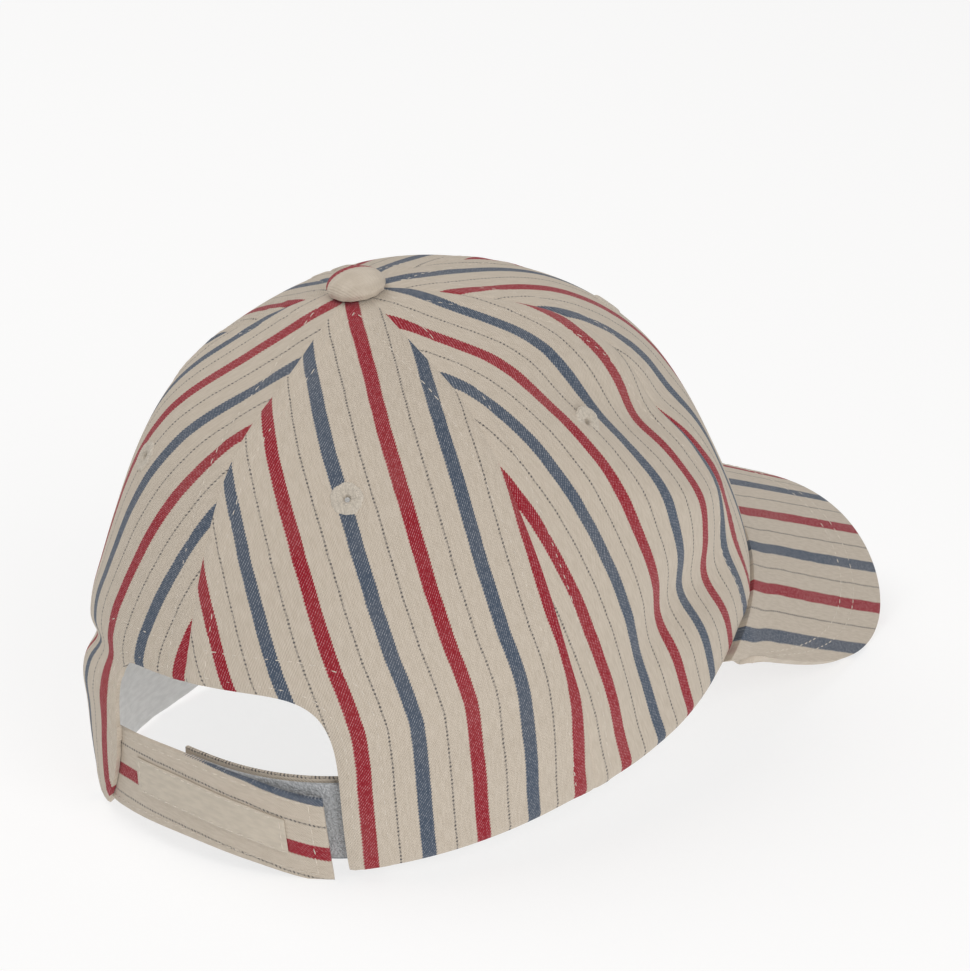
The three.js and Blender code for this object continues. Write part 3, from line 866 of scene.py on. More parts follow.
@dataclass(frozen=True)
class StripedTwill(Finish):
    """Cream cotton twill with woven red, blue and single dark stripes."""

    red: tuple[float, float, float] = (0.300, 0.008, 0.020)
    blue: tuple[float, float, float] = (0.066, 0.092, 0.135)
    dark: tuple[float, float, float] = (0.050, 0.052, 0.062)
    fleck_red: tuple[float, float, float] = (0.72, 0.30, 0.33)
    fleck_blue: tuple[float, float, float] = (0.42, 0.44, 0.48)

    def dress(self, wire: Wiring, shader: bpy.types.ShaderNode) -> None:
        """Weaves the stripes, flecks and ribs."""
        shader.inputs["Sheen Weight"].default_value = 0.12
        shader.inputs["Sheen Roughness"].default_value = 0.5
        cloth = self.cloth(wire)
        twill = self.grouped(wire, twill_group(), Cloth=cloth)
        rib, fleck, slub = (twill.outputs[title] for title in ("Rib", "Fleck", "Slub"))
        masks = self.grouped(wire, stripe_group(), Cloth=cloth, Rib=rib)
        pale = tuple(min(part * 1.04, 1.0) for part in self.colour)
        deep = tuple(part * tone for part, tone in zip(self.colour, (0.93, 0.92, 0.90)))
        cream = wire.mix(wire.ramp(slub, 0.3, 0.7), rgba(deep), rgba(pale))
        shade = wire.maths("MULTIPLY", wire.ramp(rib, 0.1, 0.9), 0.16)
        cream = wire.mix(shade, cream, rgba(deep))
        red = wire.mix(wire.maths("MULTIPLY", fleck, 0.85), rgba(self.red), rgba(self.fleck_red))
        blue = wire.mix(wire.maths("MULTIPLY", fleck, 0.85), rgba(self.blue), rgba(self.fleck_blue))
        colour = wire.mix(masks.outputs["Thin"], cream, rgba(self.dark))
        colour = wire.mix(masks.outputs["Blue"], colour, blue)
        colour = wire.mix(masks.outputs["Red"], colour, red)
        patchy = wire.grain(cloth, 0.03, 0.03, 3.0)
        worn = wire.maths("MULTIPLY", wire.ramp(patchy, 0.35, 0.75), 0.08)
        wire.put(shader.inputs["Base Color"], wire.mix(worn, colour, rgba(pale)))
        wire.put(shader.inputs["Roughness"], wire.maths("MULTIPLY_ADD", rib, -0.08, 0.95))
        grain = wire.grain(cloth, 3.0, 1.2)
        self.bumped(wire, shader, wire.maths("MULTIPLY_ADD", grain, 0.5, rib))


@dataclass(frozen=True)
class Thread(Finish):
    """Twisted cotton thread."""

    def dress(self, wire: Wiring, shader: bpy.types.ShaderNode) -> None:
        """Adds the twist and uneven paleness."""
        place = wire.tree.nodes.new("ShaderNodeTexCoord").outputs["Object"]
        twist = wire.noise(wire.stretched(place, (2600, 2600, 900)), 1.0, 2.0)
        pale = tuple(min(part * 1.12, 1.0) for part in self.colour)
        deep = tuple(part * 0.86 for part in self.colour)
        tint = wire.mix(wire.ramp(twist, 0.3, 0.7), rgba(deep), rgba(pale))
        wire.put(shader.inputs["Base Color"], tint)
        shader.inputs["Sheen Weight"].default_value = 0.2
        self.bumped(wire, shader, twist)


@dataclass(frozen=True)
class PlainWeave(Finish):
    """A plain-woven cloth of even yarns."""

    yarn: float = 0.5

    def dress(self, wire: Wiring, shader: bpy.types.ShaderNode) -> None:
        """Crosses two sets of yarns."""
        cloth = self.cloth(wire)
        across, along = wire.parts(cloth)
        warp = wire.maths("SINE", wire.maths("MULTIPLY", across, 2 * math.pi / self.yarn))
        weft = wire.maths("SINE", wire.maths("MULTIPLY", along, 2 * math.pi / self.yarn))
        weave = wire.maths("MULTIPLY_ADD", wire.maths("MULTIPLY", warp, weft), 0.5, 0.5)
        uneven = wire.grain(cloth, 0.9, 0.25, 3.0)
        soil = wire.grain(cloth, 0.05, 0.05)
        deep = tuple(part * 0.88 for part in self.colour)
        tint = wire.mix(wire.ramp(uneven, 0.3, 0.7), rgba(deep), rgba(self.colour))
        tint = wire.mix(wire.maths("MULTIPLY", wire.ramp(soil, 0.4, 0.8), 0.3), tint, rgba(deep))
        wire.put(shader.inputs["Base Color"], tint)
        shader.inputs["Sheen Weight"].default_value = 0.1
        self.bumped(wire, shader, weave)


@dataclass(frozen=True)
class Pile(Finish):
    """The brushed pile of a hook-and-loop tape."""

    grain: float = 1.4

    def dress(self, wire: Wiring, shader: bpy.types.ShaderNode) -> None:
        """Scatters small loops, with painted shade between them."""
        cloth = self.cloth(wire)
        node = wire.tree.nodes.new("ShaderNodeTexVoronoi")
        wire.put(node.inputs["Vector"], wire.stretched(cloth, (self.grain, self.grain, 1)))
        node.inputs["Scale"].default_value = 1.0
        fuzz = wire.grain(cloth, 2.5, 2.5, 3.0)
        height = wire.maths("SUBTRACT", fuzz, wire.maths("MULTIPLY", node.outputs["Distance"], 0.8))
        # painted shade: the tape's colour falls to 0.7 of itself where the pile's height is low,
        # between the loops
        deep = tuple(part * 0.7 for part in self.colour)
        tint = wire.mix(wire.ramp(height, -0.3, 0.4), rgba(deep), rgba(self.colour))
        wire.put(shader.inputs["Base Color"], tint)
        shader.inputs["Sheen Weight"].default_value = 0.4
        self.bumped(wire, shader, height)


TWILL = StripedTwill("woven_stripes", Slot.TWILL, colour=(0.625, 0.552, 0.462), bump=0.09)
INSIDE = PlainWeave("plain_inside_weave", Slot.TWILL, colour=(0.82, 0.81, 0.79), bump=0.05)
THREAD = Thread("twisted_thread", Slot.THREAD, colour=(0.70, 0.635, 0.55), bump=0.1)
SATIN = Thread("eyelet_satin", Slot.THREAD, colour=(0.60, 0.545, 0.465), bump=0.08)
BAND_CLOTH = PlainWeave("smooth_band_weave", Slot.BAND, colour=(0.80, 0.80, 0.79), bump=0.05)
TAPE = Pile("loop_pile", Slot.TAPE, colour=(0.60, 0.62, 0.64), bump=0.5)
LABEL_CLOTH = PlainWeave(
    "bare_label_weave", Slot.LABEL, colour=(0.66, 0.59, 0.49), bump=0.05, yarn=0.36
)


@dataclass
class Panels:
    """The crown's six panels."""

    crown: CrownShape
    placing: Placing
    columns: int = 92
    rows: int = 132
    eyelet_hole: float = 1.9
    clearance: float = 0.2
    lean_step: float = 9.0

    def build(self) -> None:
        """Builds and dresses every panel."""
        for cut in PANELS:
            self.panel(cut)

    def panel(self, cut: PanelCut) -> None:
        """Builds one panel as a sheet on the crown and gives it its wall.

        Args:
            cut: the panel's cut.
        """
        piece, share, up = grid(f"cloth_{cut.name}", self.columns, self.rows)
        top = 90 - math.degrees(self.crown.tip_radius / self.crown.half_width)
        turn = cut.start + (cut.end - cut.start) * share
        climb = top * up
        if cut.name.startswith("back"):
            turn, climb = self.opened(piece, turn, climb)
        self.pierced(piece, cut, turn, climb)
        turn, climb = self.kept(piece, turn), self.kept(piece, climb)
        self.tidy(piece)
        shape(piece, self.placing.standing(self.crown.cloth(turn, climb)))
        across = self.crown.arc(turn, climb, cut.middle)
        across -= table_value(cut.lean, self.lean_step, climb)
        along = self.crown.climb_arc(cut.middle, climb)
        lay_cloth(piece, across, along)
        piece.data.materials.clear()
        for finish in (TWILL, INSIDE):
            piece.data.materials.append(finish.material())
        thicken(piece, self.crown.wall - self.clearance, -1, back=1)
        finish_piece(piece, TWILL, f"panel_{cut.name}")
        width = float(self.crown.arc(np.array([cut.end]), np.array([0.0]), cut.middle)[0]) * 2
        length = float(self.crown.climb_arc(cut.middle, np.array([90.0]))[0])

    def kept(self, piece: bpy.types.Object, values: np.ndarray) -> np.ndarray:
        """The values of the vertices that are still in the mesh."""
        marks = np.empty(len(piece.data.vertices), np.int32)
        piece.data.attributes["mark"].data.foreach_get("value", marks)
        return values[marks]

    def tidy(self, piece: bpy.types.Object) -> None:
        """Removes the marks that kept track of vertices."""
        piece.data.attributes.remove(piece.data.attributes["mark"])

    def delete_faces(self, piece: bpy.types.Object, doomed: np.ndarray) -> None:
        """Deletes faces and the vertices that only they had."""
        mesh = bmesh.new()
        mesh.from_mesh(piece.data)
        mesh.faces.ensure_lookup_table()
        faces = [mesh.faces[i] for i in np.flatnonzero(doomed)]
        bmesh.ops.delete(mesh, geom=faces, context="FACES")
        mesh.to_mesh(piece.data)
        mesh.free()

    def faces(self, piece: bpy.types.Object) -> np.ndarray:
        """The corner vertices of each square face."""
        corners = np.empty(len(piece.data.polygons) * 4, np.int32)
        piece.data.polygons.foreach_get("vertices", corners)
        return corners.reshape(-1, 4)

    def marked(self, piece: bpy.types.Object) -> None:
        """Numbers the vertices, so that values can follow them through deletion."""
        if "mark" not in piece.data.attributes:
            marks = piece.data.attributes.new("mark", "INT", "POINT")
            marks.data.foreach_set("value", np.arange(len(piece.data.vertices), dtype=np.int32))

    def opened(
        self, piece: bpy.types.Object, turn: np.ndarray, climb: np.ndarray
    ) -> tuple[np.ndarray, np.ndarray]:
        """Cuts the arched opening out of a back panel and draws its edge onto the arch.

        Args:
            piece: the panel's flat grid.
            turn: the vertices' turns.
            climb: the vertices' climbs.

        Returns:
            The turns and climbs, with the edge's vertices on the arch.
        """
        self.marked(piece)
        away = self.crown.from_arch(self.crown.point(turn, climb))
        corners = self.faces(piece)
        gone = (away[corners] < 0).sum(axis=1) >= 3
        self.delete_faces(piece, gone)
        edge = np.zeros(len(turn), bool)
        edge[corners[gone].ravel()] = True
        still = np.zeros(len(turn), bool)
        still[corners[~gone].ravel()] = True
        drawn = still & (edge | (away < 0))
        turn, climb = turn.copy(), climb.copy()
        small = 0.05
        for _ in range(12):
            t, c = turn[drawn], climb[drawn]
            here = self.crown.from_arch(self.crown.point(t, c))
            by_turn = (self.crown.from_arch(self.crown.point(t + small, c)) - here) / small
            by_climb = (self.crown.from_arch(self.crown.point(t, c + small)) - here) / small
            scale = np.maximum(by_turn**2 + by_climb**2, 1e-6)
            turn[drawn] = t - here * by_turn / scale
            climb[drawn] = np.maximum(c - here * by_climb / scale, 0)
        return turn, climb

    def pierced(
        self, piece: bpy.types.Object, cut: PanelCut, turn: np.ndarray, climb: np.ndarray
    ) -> None:
        """Opens the small hole under the eyelet.

        Args:
            piece: the panel's flat grid.
            cut: the panel's cut.
            turn: the vertices' turns.
            climb: the vertices' climbs.
        """
        self.marked(piece)
        points = self.crown.point(self.kept(piece, turn), self.kept(piece, climb))
        middle = self.crown.point(*(np.array(float(value)) for value in cut.eyelet))
        centres = points[self.faces(piece)].mean(axis=1)
        self.delete_faces(piece, np.linalg.norm(centres - middle, axis=1) < self.eyelet_hole)


@dataclass
class Eyelets:
    """The embroidered eyelets, one on each panel."""

    crown: CrownShape
    placing: Placing
    hole: float = 0.8
    height: float = 0.5
    threads: int = 34
    around: int = 136
    across: int = 12
    cloth_round: float = 25.0
    cloth_out: float = 4.0

    def build(self) -> None:
        """Builds and dresses every eyelet."""
        for cut in PANELS:
            self.eyelet(cut)

    def eyelet(self, cut: PanelCut) -> None:
        """Builds one eyelet as a ring of satin stitches that dips into its hole.

        Args:
            cut: the panel that it sits on.
        """
        turn, climb = (np.array([float(value)]) for value in cut.eyelet)
        plain = self.crown.point(turn, climb)
        press = self.crown.folds(plain)[0]
        normal = self.crown.normal(turn, climb)[0]
        side = unit(np.cross(np.array((0.0, 0.0, 1.0)), normal))
        up = np.cross(normal, side)
        piece, share, out = grid(f"sewn_eyelet_{cut.name}", self.around, self.across)
        angle = 2 * np.pi * share
        profile = np.array(
            [(self.hole - 0.15, -1.5), (self.hole - 0.05, -0.7), (self.hole + 0.15, -0.05),
             (self.hole + 0.6, 0.3), (2.3, 0.35), (3.2, self.height), (3.75, 0.3), (4.0, -0.3)]
        )
        places = np.linspace(0, 1, len(profile))
        radius = np.interp(out, places, profile[:, 0])
        height = np.interp(out, places, profile[:, 1])
        rib = np.abs(np.sin(angle * self.threads / 2)) ** 0.6
        ripple = np.sin(angle * 5 + 1) * 0.1 + np.sin(angle * 11 + 2) * 0.06
        radius = radius + ripple * (out > 0.8) + 0.08 * (rib - 0.5)
        height = height + 0.16 * (rib - 0.6) * np.sin(np.pi * np.clip(out * 1.15 - 0.1, 0, 1))
        flat = side * np.cos(angle)[:, None] + up * np.sin(angle)[:, None]
        points = plain[0] - normal * press + flat * radius[:, None] + normal * height[:, None]
        shape(piece, self.placing.moved(points))
        lay_cloth(piece, share * self.cloth_round, out * self.cloth_out)
        close_round(piece)
        finish_piece(piece, SATIN, f"eyelet_{cut.name}")


def close_round(piece: bpy.types.Object) -> None:
    """Joins the two ends of a sheet that meets itself, and shades it smooth."""
    alone(piece)
    bpy.ops.object.mode_set(mode="EDIT")
    bpy.ops.mesh.select_all(action="SELECT")
    bpy.ops.mesh.remove_doubles(threshold=1e-6)
    bpy.ops.object.mode_set(mode="OBJECT")
    bpy.ops.object.shade_smooth()


@dataclass
class Button:
    """The cloth-covered button on top.

    Its cloth's stripes lie square to stripe_turn. stripe_offset is where its middle falls in the
    pattern, and pull is how much the cloth is drawn together on the near side.
    """

    crown: CrownShape
    placing: Placing
    radius: float = 7.3
    height: float = 4.6
    lift: float = 0.5
    around: int = 64
    rings: int = 22
    stripe_turn: float = 328.0
    stripe_offset: float = 11.2
    pull: float = 0.25
    cloth_reach: float = 10.2

    def build(self) -> None:
        """Builds the button as a dome that turns in under its edge."""
        piece, share, out = grid("covered_button", self.around, self.rings)
        angle = 2 * np.pi * share
        arc = out * 1.22
        lean = np.clip(arc, 0, 1) * np.pi / 2
        under = np.clip(arc - 1, 0, 1)
        radius = self.radius * np.sin(lean) ** 0.92 - under * 2.6
        height = self.height * (0.14 + 0.86 * np.cos(lean)) - under * 6.0
        pleat = np.sin(angle * 13) * 0.09 + np.sin(angle * 7 + 1) * 0.08
        radius += pleat * smoothstep(out, 0.55, 0.9)
        top = self.crown.point(np.array(0.0), np.array(90.0))
        height = height + self.lift
        flat = np.stack([np.cos(angle) * radius, np.sin(angle) * radius, height], -1)
        shape(piece, self.placing.moved(top + flat))
        toward = math.radians(self.stripe_turn)
        reach = out * self.cloth_reach
        side = reach * np.cos(angle - toward)
        across = np.where(side < 0, side * self.pull, side) + self.stripe_offset
        lay_cloth(piece, across, reach * np.sin(angle - toward))
        close_round(piece)
        finish_piece(piece, TWILL, "top_button")


@dataclass
class Peak:
    """The curved peak: a board between two layers of cloth."""

    form: PeakShape
    placing: Placing
    columns: int = 132
    rows: int = 46
    repeat_share: float = 0.933
    along_share: float = 1.15
    slack: float = 0.3
    rounding: float = 0.9
    rows_in: tuple[float, float] = (13.0, 19.0)
    row_depth: float = 0.12

    def build(self) -> None:
        """Builds the peak from a sheet halfway through its board."""
        piece, share, out = grid("striped_peak", self.columns, self.rows)
        share = self.closer_at_ends(share)
        points = self.form.below(share, out, self.form.thickness / 2)
        shape(piece, self.placing.moved(points))
        face = self.form.top(share, out)
        across = self.form.across(face[:, 0]) * self.repeat_share
        lay_cloth(piece, across, face[:, 1] * self.along_share)
        self.face_up(piece)
        thicken(piece, self.form.thickness - self.slack, 0, self.rounding)
        pressed = vertices(piece)
        pressed[:, 2] = np.maximum(pressed[:, 2], 0)
        shape(piece, pressed)
        finish_piece(piece, TWILL, "peak")

    @staticmethod
    def closer_at_ends(share: np.ndarray) -> np.ndarray:
        """Shares set closer together towards the two ends, where the outline turns most."""
        side = (1 - np.abs(2 * share - 1)) ** 1.5
        return np.where(share < 0.5, side, 2 - side) / 2

    def face_up(self, piece: bpy.types.Object) -> None:
        """Turns the sheet's faces upwards before it gets its wall."""
        if sum(face.normal.z * face.area for face in piece.data.polygons) < 0:
            piece.data.flip_normals()

    def stitch_rows(self) -> list[tuple[np.ndarray, np.ndarray]]:
        """The two stitched lines parallel to the edge.

        Returns:
            Each line's points and normals in the cap's frame.
        """
        lines = []
        for inwards in self.rows_in:
            share = np.linspace(0.02, 0.98, 400)
            ones = np.ones_like(share)
            span = self.form.top(share, ones) - self.form.top(share, 0 * ones)
            out = 1 - inwards / np.linalg.norm(span, axis=-1)
            keep = out > 0.04
            share, out = share[keep], out[keep]
            normal = self.form.normal(share, out)
            lines.append((self.form.top(share, out) - normal * self.row_depth, normal))
        return lines


@dataclass
class Stitching:
    """Rows of thread stitches, each a small rounded bead along a line.

    The fields whose names start with uneven give the largest chance differences from one stitch
    to the next: along the line, in its slant and in its length.
    """

    placing: Placing
    pitch: float = 2.8
    length: float = 2.2
    radius: float = 0.15
    sides: int = 6
    reach: float = 0.8
    slant: float = 0.06
    sag: float = 0.18
    flatness: float = 0.8
    uneven_place: float = 0.15
    uneven_slant: float = 0.08
    uneven_length: float = 0.1

    def bead(self) -> tuple[np.ndarray, np.ndarray]:
        """Models one stitch.

        Returns:
            Its vertices, lying along x at unit size, and its faces.
        """
        bpy.ops.object.select_all(action="DESELECT")
        bpy.ops.mesh.primitive_uv_sphere_add(segments=self.sides, ring_count=5, radius=1)
        ball = bpy.context.active_object
        bpy.ops.object.mode_set(mode="EDIT")
        bpy.ops.mesh.quads_convert_to_tris()
        bpy.ops.object.mode_set(mode="OBJECT")
        points = np.array([tuple(vertex.co) for vertex in ball.data.vertices])
        faces = np.array([tuple(face.vertices) for face in ball.data.polygons])
        mesh = ball.data
        bpy.data.objects.remove(ball)
        bpy.data.meshes.remove(mesh)
        points = points[:, (2, 0, 1)]
        return points, faces

    def sew(self, name: str, lines: list[tuple[np.ndarray, np.ndarray]], lift: float = 0.0) -> None:
        """Sews rows of stitches as one piece.

        Args:
            name: the piece's name.
            lines: each row's points and normals in the cap's frame.
            lift: how far the stitches' middles stand off the line.
        """
        points, faces = self.bead()
        chance = np.random.default_rng(SEED)
        middles, alongs, normals = [], [], []
        for line, normal in lines:
            reach = reach_along(line)
            places = np.arange(self.pitch / 2, reach[-1], self.pitch)
            places = places + chance.uniform(-self.uneven_place, self.uneven_place, len(places))
            ahead = between(line, reach, places + self.reach)
            middles.append(between(line, reach, places))
            alongs.append(unit(ahead - between(line, reach, places - self.reach)))
            normals.append(unit(between(normal, reach, places)))
        middle, along, normal = (np.concatenate(each) for each in (middles, alongs, normals))
        beside = unit(np.cross(normal, along))
        count = len(middle)
        slant = chance.uniform(-self.uneven_slant, self.uneven_slant, count)[:, None] + self.slant
        along = unit(along + beside * slant)
        size = chance.uniform(1 - self.uneven_length, 1 + self.uneven_length, count)[:, None]
        half = self.length / 2 * size[..., None] * points[None, :, 0:1]
        sag = -self.sag * points[None, :, 0:1] ** 2
        wide = points[None, :, 1:2] * self.radius
        high = points[None, :, 2:3] * self.radius * self.flatness + sag + lift
        placed = middle[:, None, :] + along[:, None, :] * half
        placed = placed + beside[:, None, :] * wide + normal[:, None, :] * high
        all_faces = (faces[None] + (np.arange(count) * len(points))[:, None, None]).reshape(-1, 3)
        places = self.placing.standing(placed).reshape(-1, 3)
        mesh = bpy.data.meshes.new(name)
        mesh.from_pydata(places.tolist(), [], all_faces.tolist())
        piece = bpy.data.objects.new(name, mesh)
        bpy.context.scene.collection.objects.link(piece)
        alone(piece)
        bpy.ops.object.shade_smooth()
        finish_piece(piece, THREAD)


@dataclass
class CrownSewing:
    """The stitched rows beside the crown's seams and round its arched opening."""

    crown: CrownShape
    stitching: Stitching
    climbs: tuple[float, float] = (1.5, 83.5)
    back_seam: float = 90.0
    clear_of_arch: float = 1.2
    lowest: float = 1.5

    def build(self) -> None:
        """Sews the rows."""
        self.stitching.sew("seam_stitches", self.seam_rows())
        self.stitching.sew("arch_stitches", self.arch_rows())

    def seam_rows(self) -> list[tuple[np.ndarray, np.ndarray]]:
        """The rows on both sides of every seam, clear of the opening.

        Returns:
            Each row's points and normals in the cap's frame.
        """
        lines = []
        for cut in PANELS:
            for side in (-1, 1):
                climb = np.linspace(*self.climbs, 420)
                seam = np.full_like(climb, cut.start)
                scale = self.crown.per_degree(seam, climb)
                turn = seam + side * self.crown.seam_row / scale
                plain = self.crown.point(turn, climb)
                if cut.start == self.back_seam:
                    keep = self.crown.from_arch(plain) > self.clear_of_arch
                    turn, climb = turn[keep], climb[keep]
                lines.append((self.crown.cloth(turn, climb), self.crown.normal(turn, climb)))
        return lines

    def arch_rows(self) -> list[tuple[np.ndarray, np.ndarray]]:
        """The two rows round the arched opening.

        Returns:
            Each row's points and normals in the cap's frame.
        """
        lines = []
        for row in self.crown.arch_rows:
            angle = np.linspace(0, np.pi, 500)
            east, up = np.cos(angle), np.sin(angle)
            power = 2 / self.crown.arch_power(east > 0)
            z = (self.crown.arch_height + row) * np.abs(up) ** power
            side = self.crown.arch_side(z, east > 0) + row
            x = side * np.sign(east) * np.abs(east) ** power
            keep = z > self.lowest
            turn, climb = self.crown.at_back(x[keep], z[keep])
            lines.append((self.crown.cloth(turn, climb), self.crown.normal(turn, climb)))
        return lines


@dataclass(frozen=True)
class StripCut:
    """A strip inside the crown: its turns, its lower edge and height, its depth and its cloth.

    across holds where the cloth's pattern starts at the upper edge, its scale and its slant. edge
    is the radius of its rounded edges, hem the cloth turned under at each long edge, which isn't
    modelled, and ripple how far it waves in and out.
    """

    name: str
    start: float
    end: float
    low: Callable[[np.ndarray], np.ndarray]
    height: float
    depth: Callable[[np.ndarray], np.ndarray]
    wall: float
    node: str
    finish: Finish
    columns: int = 90
    rows: int = 26
    across: tuple[float, float, float] = (0.0, 1.0, 0.0)
    edge: float = 0.35
    hem: float = 0.0
    ripple: float = 0.0


@dataclass
class Strips:
    """The sweatband, the closing straps, their tapes and the bare label."""

    crown: CrownShape
    strap: StrapShape
    placing: Placing
    stitching: Stitching
    spare: float = 0.05
    band_wall: float = 1.1
    band_turns: tuple[float, float] = (127.0, 413.0)
    band_low: float = 0.6
    band_height: float = 29.4
    tape_wall: float = 1.0
    tape_margin: float = 2.2
    loop_turns: tuple[float, float] = (88.0, 122.5)
    hook_turns: tuple[float, float] = (90.0, 114.0)
    inner_turns: tuple[float, float] = (86.0, 126.0)
    inner_rises: tuple[float, float] = (4.5, 0.2)
    label_turns: tuple[float, float] = (75.0, 110.2)
    label_rises: tuple[float, float] = (7.8, 6.0)
    label_height: float = 9.2
    label_wall: float = 0.8

    def inner_low(self, turn: np.ndarray) -> np.ndarray:
        """The height of the inner strap's lower edge."""
        return np.interp(turn, self.inner_turns, self.inner_rises)

    def label_low(self, turn: np.ndarray) -> np.ndarray:
        """The height of the label's lower edge."""
        return self.strap.low(turn) + np.interp(turn, self.label_turns, self.label_rises)

    def place(
        self, cut: StripCut, turn: np.ndarray, up: np.ndarray, extra: float | np.ndarray = 0.0
    ) -> np.ndarray:
        """Points of a strip's outer face, or an extra distance outside it."""
        height = cut.low(turn) + cut.height * up
        climb = np.degrees(np.arcsin(height / self.crown.height))
        return self.crown.behind(turn, climb, cut.depth(turn) - extra)

    def strip(self, cut: StripCut) -> None:
        """Builds and dresses one strip.

        Args:
            cut: its cut.
        """
        piece, share, up = grid(cut.name, cut.columns, cut.rows)
        turn = cut.start + (cut.end - cut.start) * share
        middle = self.place(cut, np.linspace(cut.start, cut.end, 60), np.full(60, 0.5))
        length = float(reach_along(middle)[-1])
        wave = cut.ripple * (1 + np.sin(turn * 0.42) + 0.6 * np.sin(turn * 0.93 + up * 2))
        shape(piece, self.placing.standing(self.place(cut, turn, up, -wave)))
        start, scale, slant = cut.across
        lay_cloth(piece, start + scale * cut.height * (1 - up) + slant * share, share * length)
        thicken(piece, cut.wall, -1, cut.edge)
        finish_piece(piece, cut.finish, cut.node)

    def build(self) -> None:
        """Builds the strips and their stitches."""
        strap, margin = self.strap, self.tape_margin
        hook_depth = strap.wall + strap.gap
        loop_depth = hook_depth + self.tape_wall + strap.gap
        inner_depth = loop_depth + self.tape_wall + strap.gap
        strap_wall, tape_wall = strap.wall - self.spare, self.tape_wall - self.spare
        outer = StripCut(
            "striped_strap_outer", strap.start, strap.end, strap.low, strap.height, strap.depth,
            strap_wall, "strap_outer", TWILL, columns=110, rows=34, across=(4.4, 0.95, -4.4),
        )
        label = StripCut(
            "bare_label", *self.label_turns, self.label_low, self.label_height,
            lambda t: strap.depth(t) - self.label_wall / 2 - 0.1, self.label_wall / 2,
            "label", LABEL_CLOTH, edge=0.2, hem=0.6,
        )
        cuts = (
            StripCut(
                "inner_sweatband", *self.band_turns, lambda t: np.full_like(t, self.band_low),
                self.band_height, lambda t: np.full_like(t, self.crown.wall + strap.gap),
                self.band_wall, "sweatband", BAND_CLOTH, columns=230, rows=22, edge=0.3,
                ripple=0.15,
            ),
            outer,
            StripCut(
                "striped_strap_inner", *self.inner_turns, self.inner_low, strap.height,
                lambda t: strap.depth(t) + inner_depth, strap_wall, "strap_inner", TWILL,
                across=(6.75, 0.95, 0.0),
            ),
            StripCut(
                "loop_pile_tape", *self.loop_turns, lambda t: self.inner_low(t) + margin / 2,
                strap.height - margin, lambda t: strap.depth(t) + loop_depth, tape_wall,
                "loop_tape", TAPE,
            ),
            StripCut(
                "hook_pile_tape", *self.hook_turns, lambda t: strap.low(t) + margin,
                strap.height - 2 * margin, lambda t: strap.depth(t) + hook_depth, tape_wall,
                "hook_tape", TAPE,
            ),
            label,
        )
        for cut in cuts:
            self.strip(cut)
        self.sew(outer, label)

    def edge_line(
        self, cut: StripCut, start: float, end: float, low: float, high: float
    ) -> tuple[np.ndarray, np.ndarray]:
        """A stitched line on a strip between two places, each a turn and a share upwards."""
        share = np.linspace(0, 1, 160)
        turn = start + (end - start) * share
        up = low + (high - low) * share
        points = self.place(cut, turn, up, 0.02)
        return points, self.crown.normal(turn, np.full_like(turn, 5.0))

    def sew(self, outer: StripCut, label: StripCut) -> None:
        """Sews the rows on the outer strap and round the label.

        Args:
            outer: the outer strap's cut.
            label: the label's cut.
        """
        end = outer.end
        rows = [
            self.edge_line(outer, 56, end - 1.6, 0.08, 0.08),
            self.edge_line(outer, 56, end - 1.6, 0.92, 0.92),
            self.edge_line(outer, end - 2.6, end - 2.6, 0.06, 0.94),
        ]
        self.stitching.sew("strap_stitches", rows, 0.05)
        low, high = 0.06, 0.94
        first, last = label.start + 1.0, label.end - 1.0
        box = [
            self.edge_line(label, first, last, low, low),
            self.edge_line(label, first, last, high, high),
            self.edge_line(label, first, first, low, high),
            self.edge_line(label, last, last, low, high),
        ]
        self.stitching.sew("label_stitches", box, 0.05)


@dataclass(frozen=True)
class Eye:
    """The camera, as placed against the photographed view in the cap's own frame."""

    place: tuple[float, float, float] = (-578.315, 678.597, 503.312)
    right: tuple[float, float, float] = (-0.80856, -0.57481, -0.12579)
    up: tuple[float, float, float] = (0.17316, -0.43675, 0.88276)
    forward: tuple[float, float, float] = (0.56236, -0.69198, -0.45268)
    lens: float = 147.46
    sensor: float = 36.0
    nearest: float = 0.05

    def build(self, placing: Placing) -> None:
        """Adds the camera.

        Args:
            placing: how the cap stands.
        """
        data = bpy.data.cameras.new("eye")
        data.lens = self.lens
        data.sensor_width = self.sensor
        data.sensor_fit = "HORIZONTAL"
        data.clip_start = self.nearest
        camera = bpy.data.objects.new("eye", data)
        axes = [placing.turned(np.array(axis)) for axis in (self.right, self.up, self.forward)]
        turn = Matrix((axes[0], axes[1], -axes[2])).transposed().to_4x4()
        place = placing.moved(np.array(self.place))
        camera.matrix_world = Matrix.Translation(Vector(place)) @ turn
        bpy.context.scene.collection.objects.link(camera)
        bpy.context.scene.camera = camera


@dataclass(frozen=True)
class Lamp:
    """A soft studio light that faces the cap."""

    name: str
    place: tuple[float, float, float]
    size: float
    power: float
    colour: tuple[float, float, float] = (1.0, 1.0, 1.0)
    aim_height: float = 0.06

    def build(self) -> None:
        """Adds the light."""
        data = bpy.data.lights.new(self.name, "AREA")
        data.shape = "DISK"
        data.size = self.size
        data.energy = self.power
        data.color = self.colour
        lamp = bpy.data.objects.new(self.name, data)
        aim = Vector((0, 0, self.aim_height)) - Vector(self.place)
        lamp.location = self.place
        lamp.rotation_euler = aim.to_track_quat("-Z", "Y").to_euler()
        bpy.context.scene.collection.objects.link(lamp)


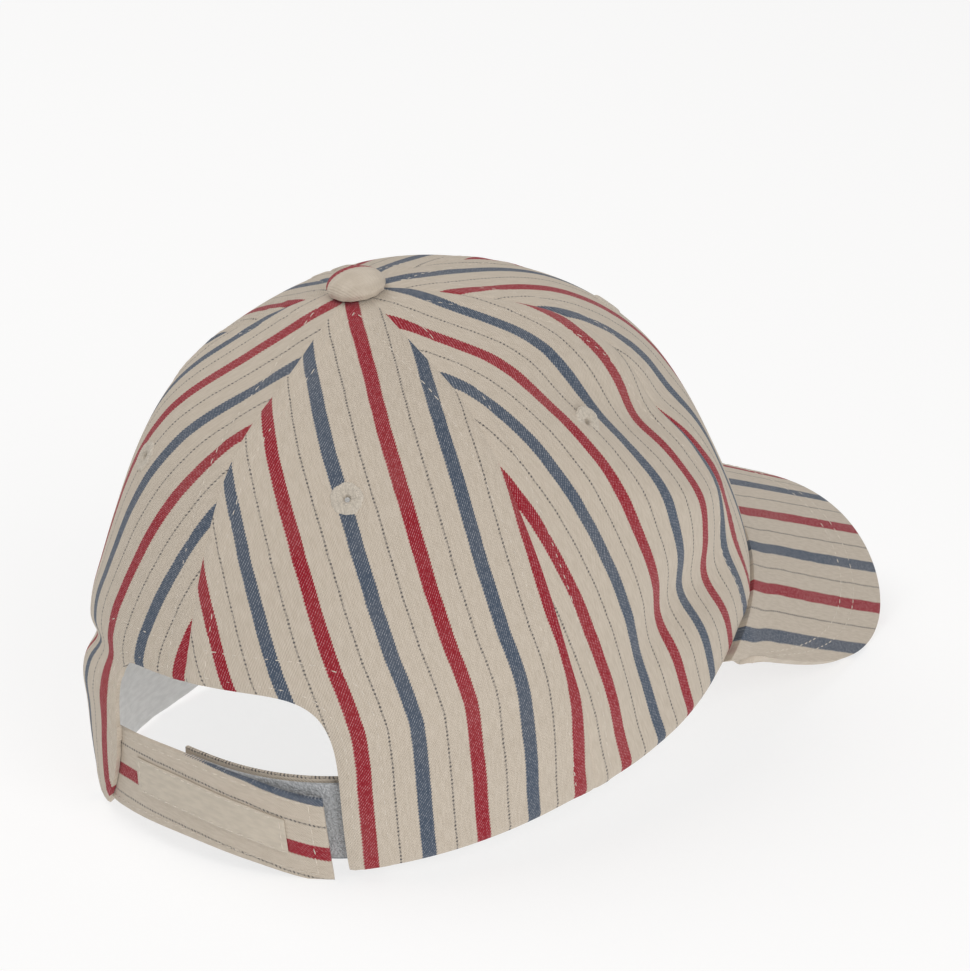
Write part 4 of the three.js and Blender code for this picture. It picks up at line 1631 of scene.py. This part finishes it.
@dataclass
class Studio:
    """The pale floor, the soft lights and the world round them."""

    floor_size: float = 12.0
    floor_drop: float = 0.0002
    world_power: float = 0.35
    floor_glow: float = 0.7
    floor_tone: float = 0.33
    lamps: tuple[Lamp, ...] = (
        Lamp("key", (-1.85, 0.85, 1.15), 1.5, 20.5, (1.0, 0.965, 0.945)),
        Lamp("top", (1.1, 0.2, 1.9), 1.8, 19.0, (1.0, 0.97, 0.945)),
    )

    def build(self) -> None:
        """Adds the floor, lights and world."""
        bpy.ops.object.select_all(action="DESELECT")
        under = (0, 0, -self.floor_drop)
        bpy.ops.mesh.primitive_plane_add(size=self.floor_size, location=under)
        floor = bpy.context.active_object
        floor.name = "floor"
        paint = bpy.data.materials.new("floor")
        paint.use_nodes = True
        shader = paint.node_tree.nodes["Principled BSDF"]
        shader.inputs["Base Color"].default_value = rgba((self.floor_tone,) * 3)
        shader.inputs["Roughness"].default_value = 1.0
        shader.inputs["Specular IOR Level"].default_value = 0.0
        shader.inputs["Emission Color"].default_value = (1, 1, 1, 1)
        shader.inputs["Emission Strength"].default_value = self.floor_glow
        floor.data.materials.append(paint)
        for lamp in self.lamps:
            lamp.build()
        world = bpy.data.worlds.new("studio")
        world.use_nodes = True
        backdrop = world.node_tree.nodes["Background"]
        backdrop.inputs["Color"].default_value = (1, 1, 1, 1)
        backdrop.inputs["Strength"].default_value = self.world_power
        scene = bpy.context.scene
        scene.world = world
        scene.view_settings.view_transform = "Standard"


def corners(box: tuple) -> list[list[float]]:
    """A box's two corners as plain lists."""
    return [[float(value) for value in corner] for corner in box]


def main() -> None:
    """Builds the dressed cap and its studio."""
    logging.basicConfig(level=logging.INFO, format="%(name)s %(message)s")
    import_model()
    crown = CrownShape()
    peak = PeakShape(crown)
    strap = StrapShape(crown)
    placing = Placing.of_model(crown, peak, strap)
    LOG.info("pitch %.2f, shift %.2f %.2f", math.degrees(placing.pitch), placing.shift_x,
             placing.shift_y)
    Eye().build(placing)
    Studio().build()
    stitching = Stitching(placing)
    Panels(crown, placing).build()
    Eyelets(crown, placing).build()
    Button(crown, placing).build()
    board = Peak(peak, placing)
    board.build()
    stitching.sew("peak_stitches", board.stitch_rows())
    CrownSewing(crown, stitching).build()
    Strips(crown, strap, placing, stitching).build()


if __name__ == "__main__":
    main()
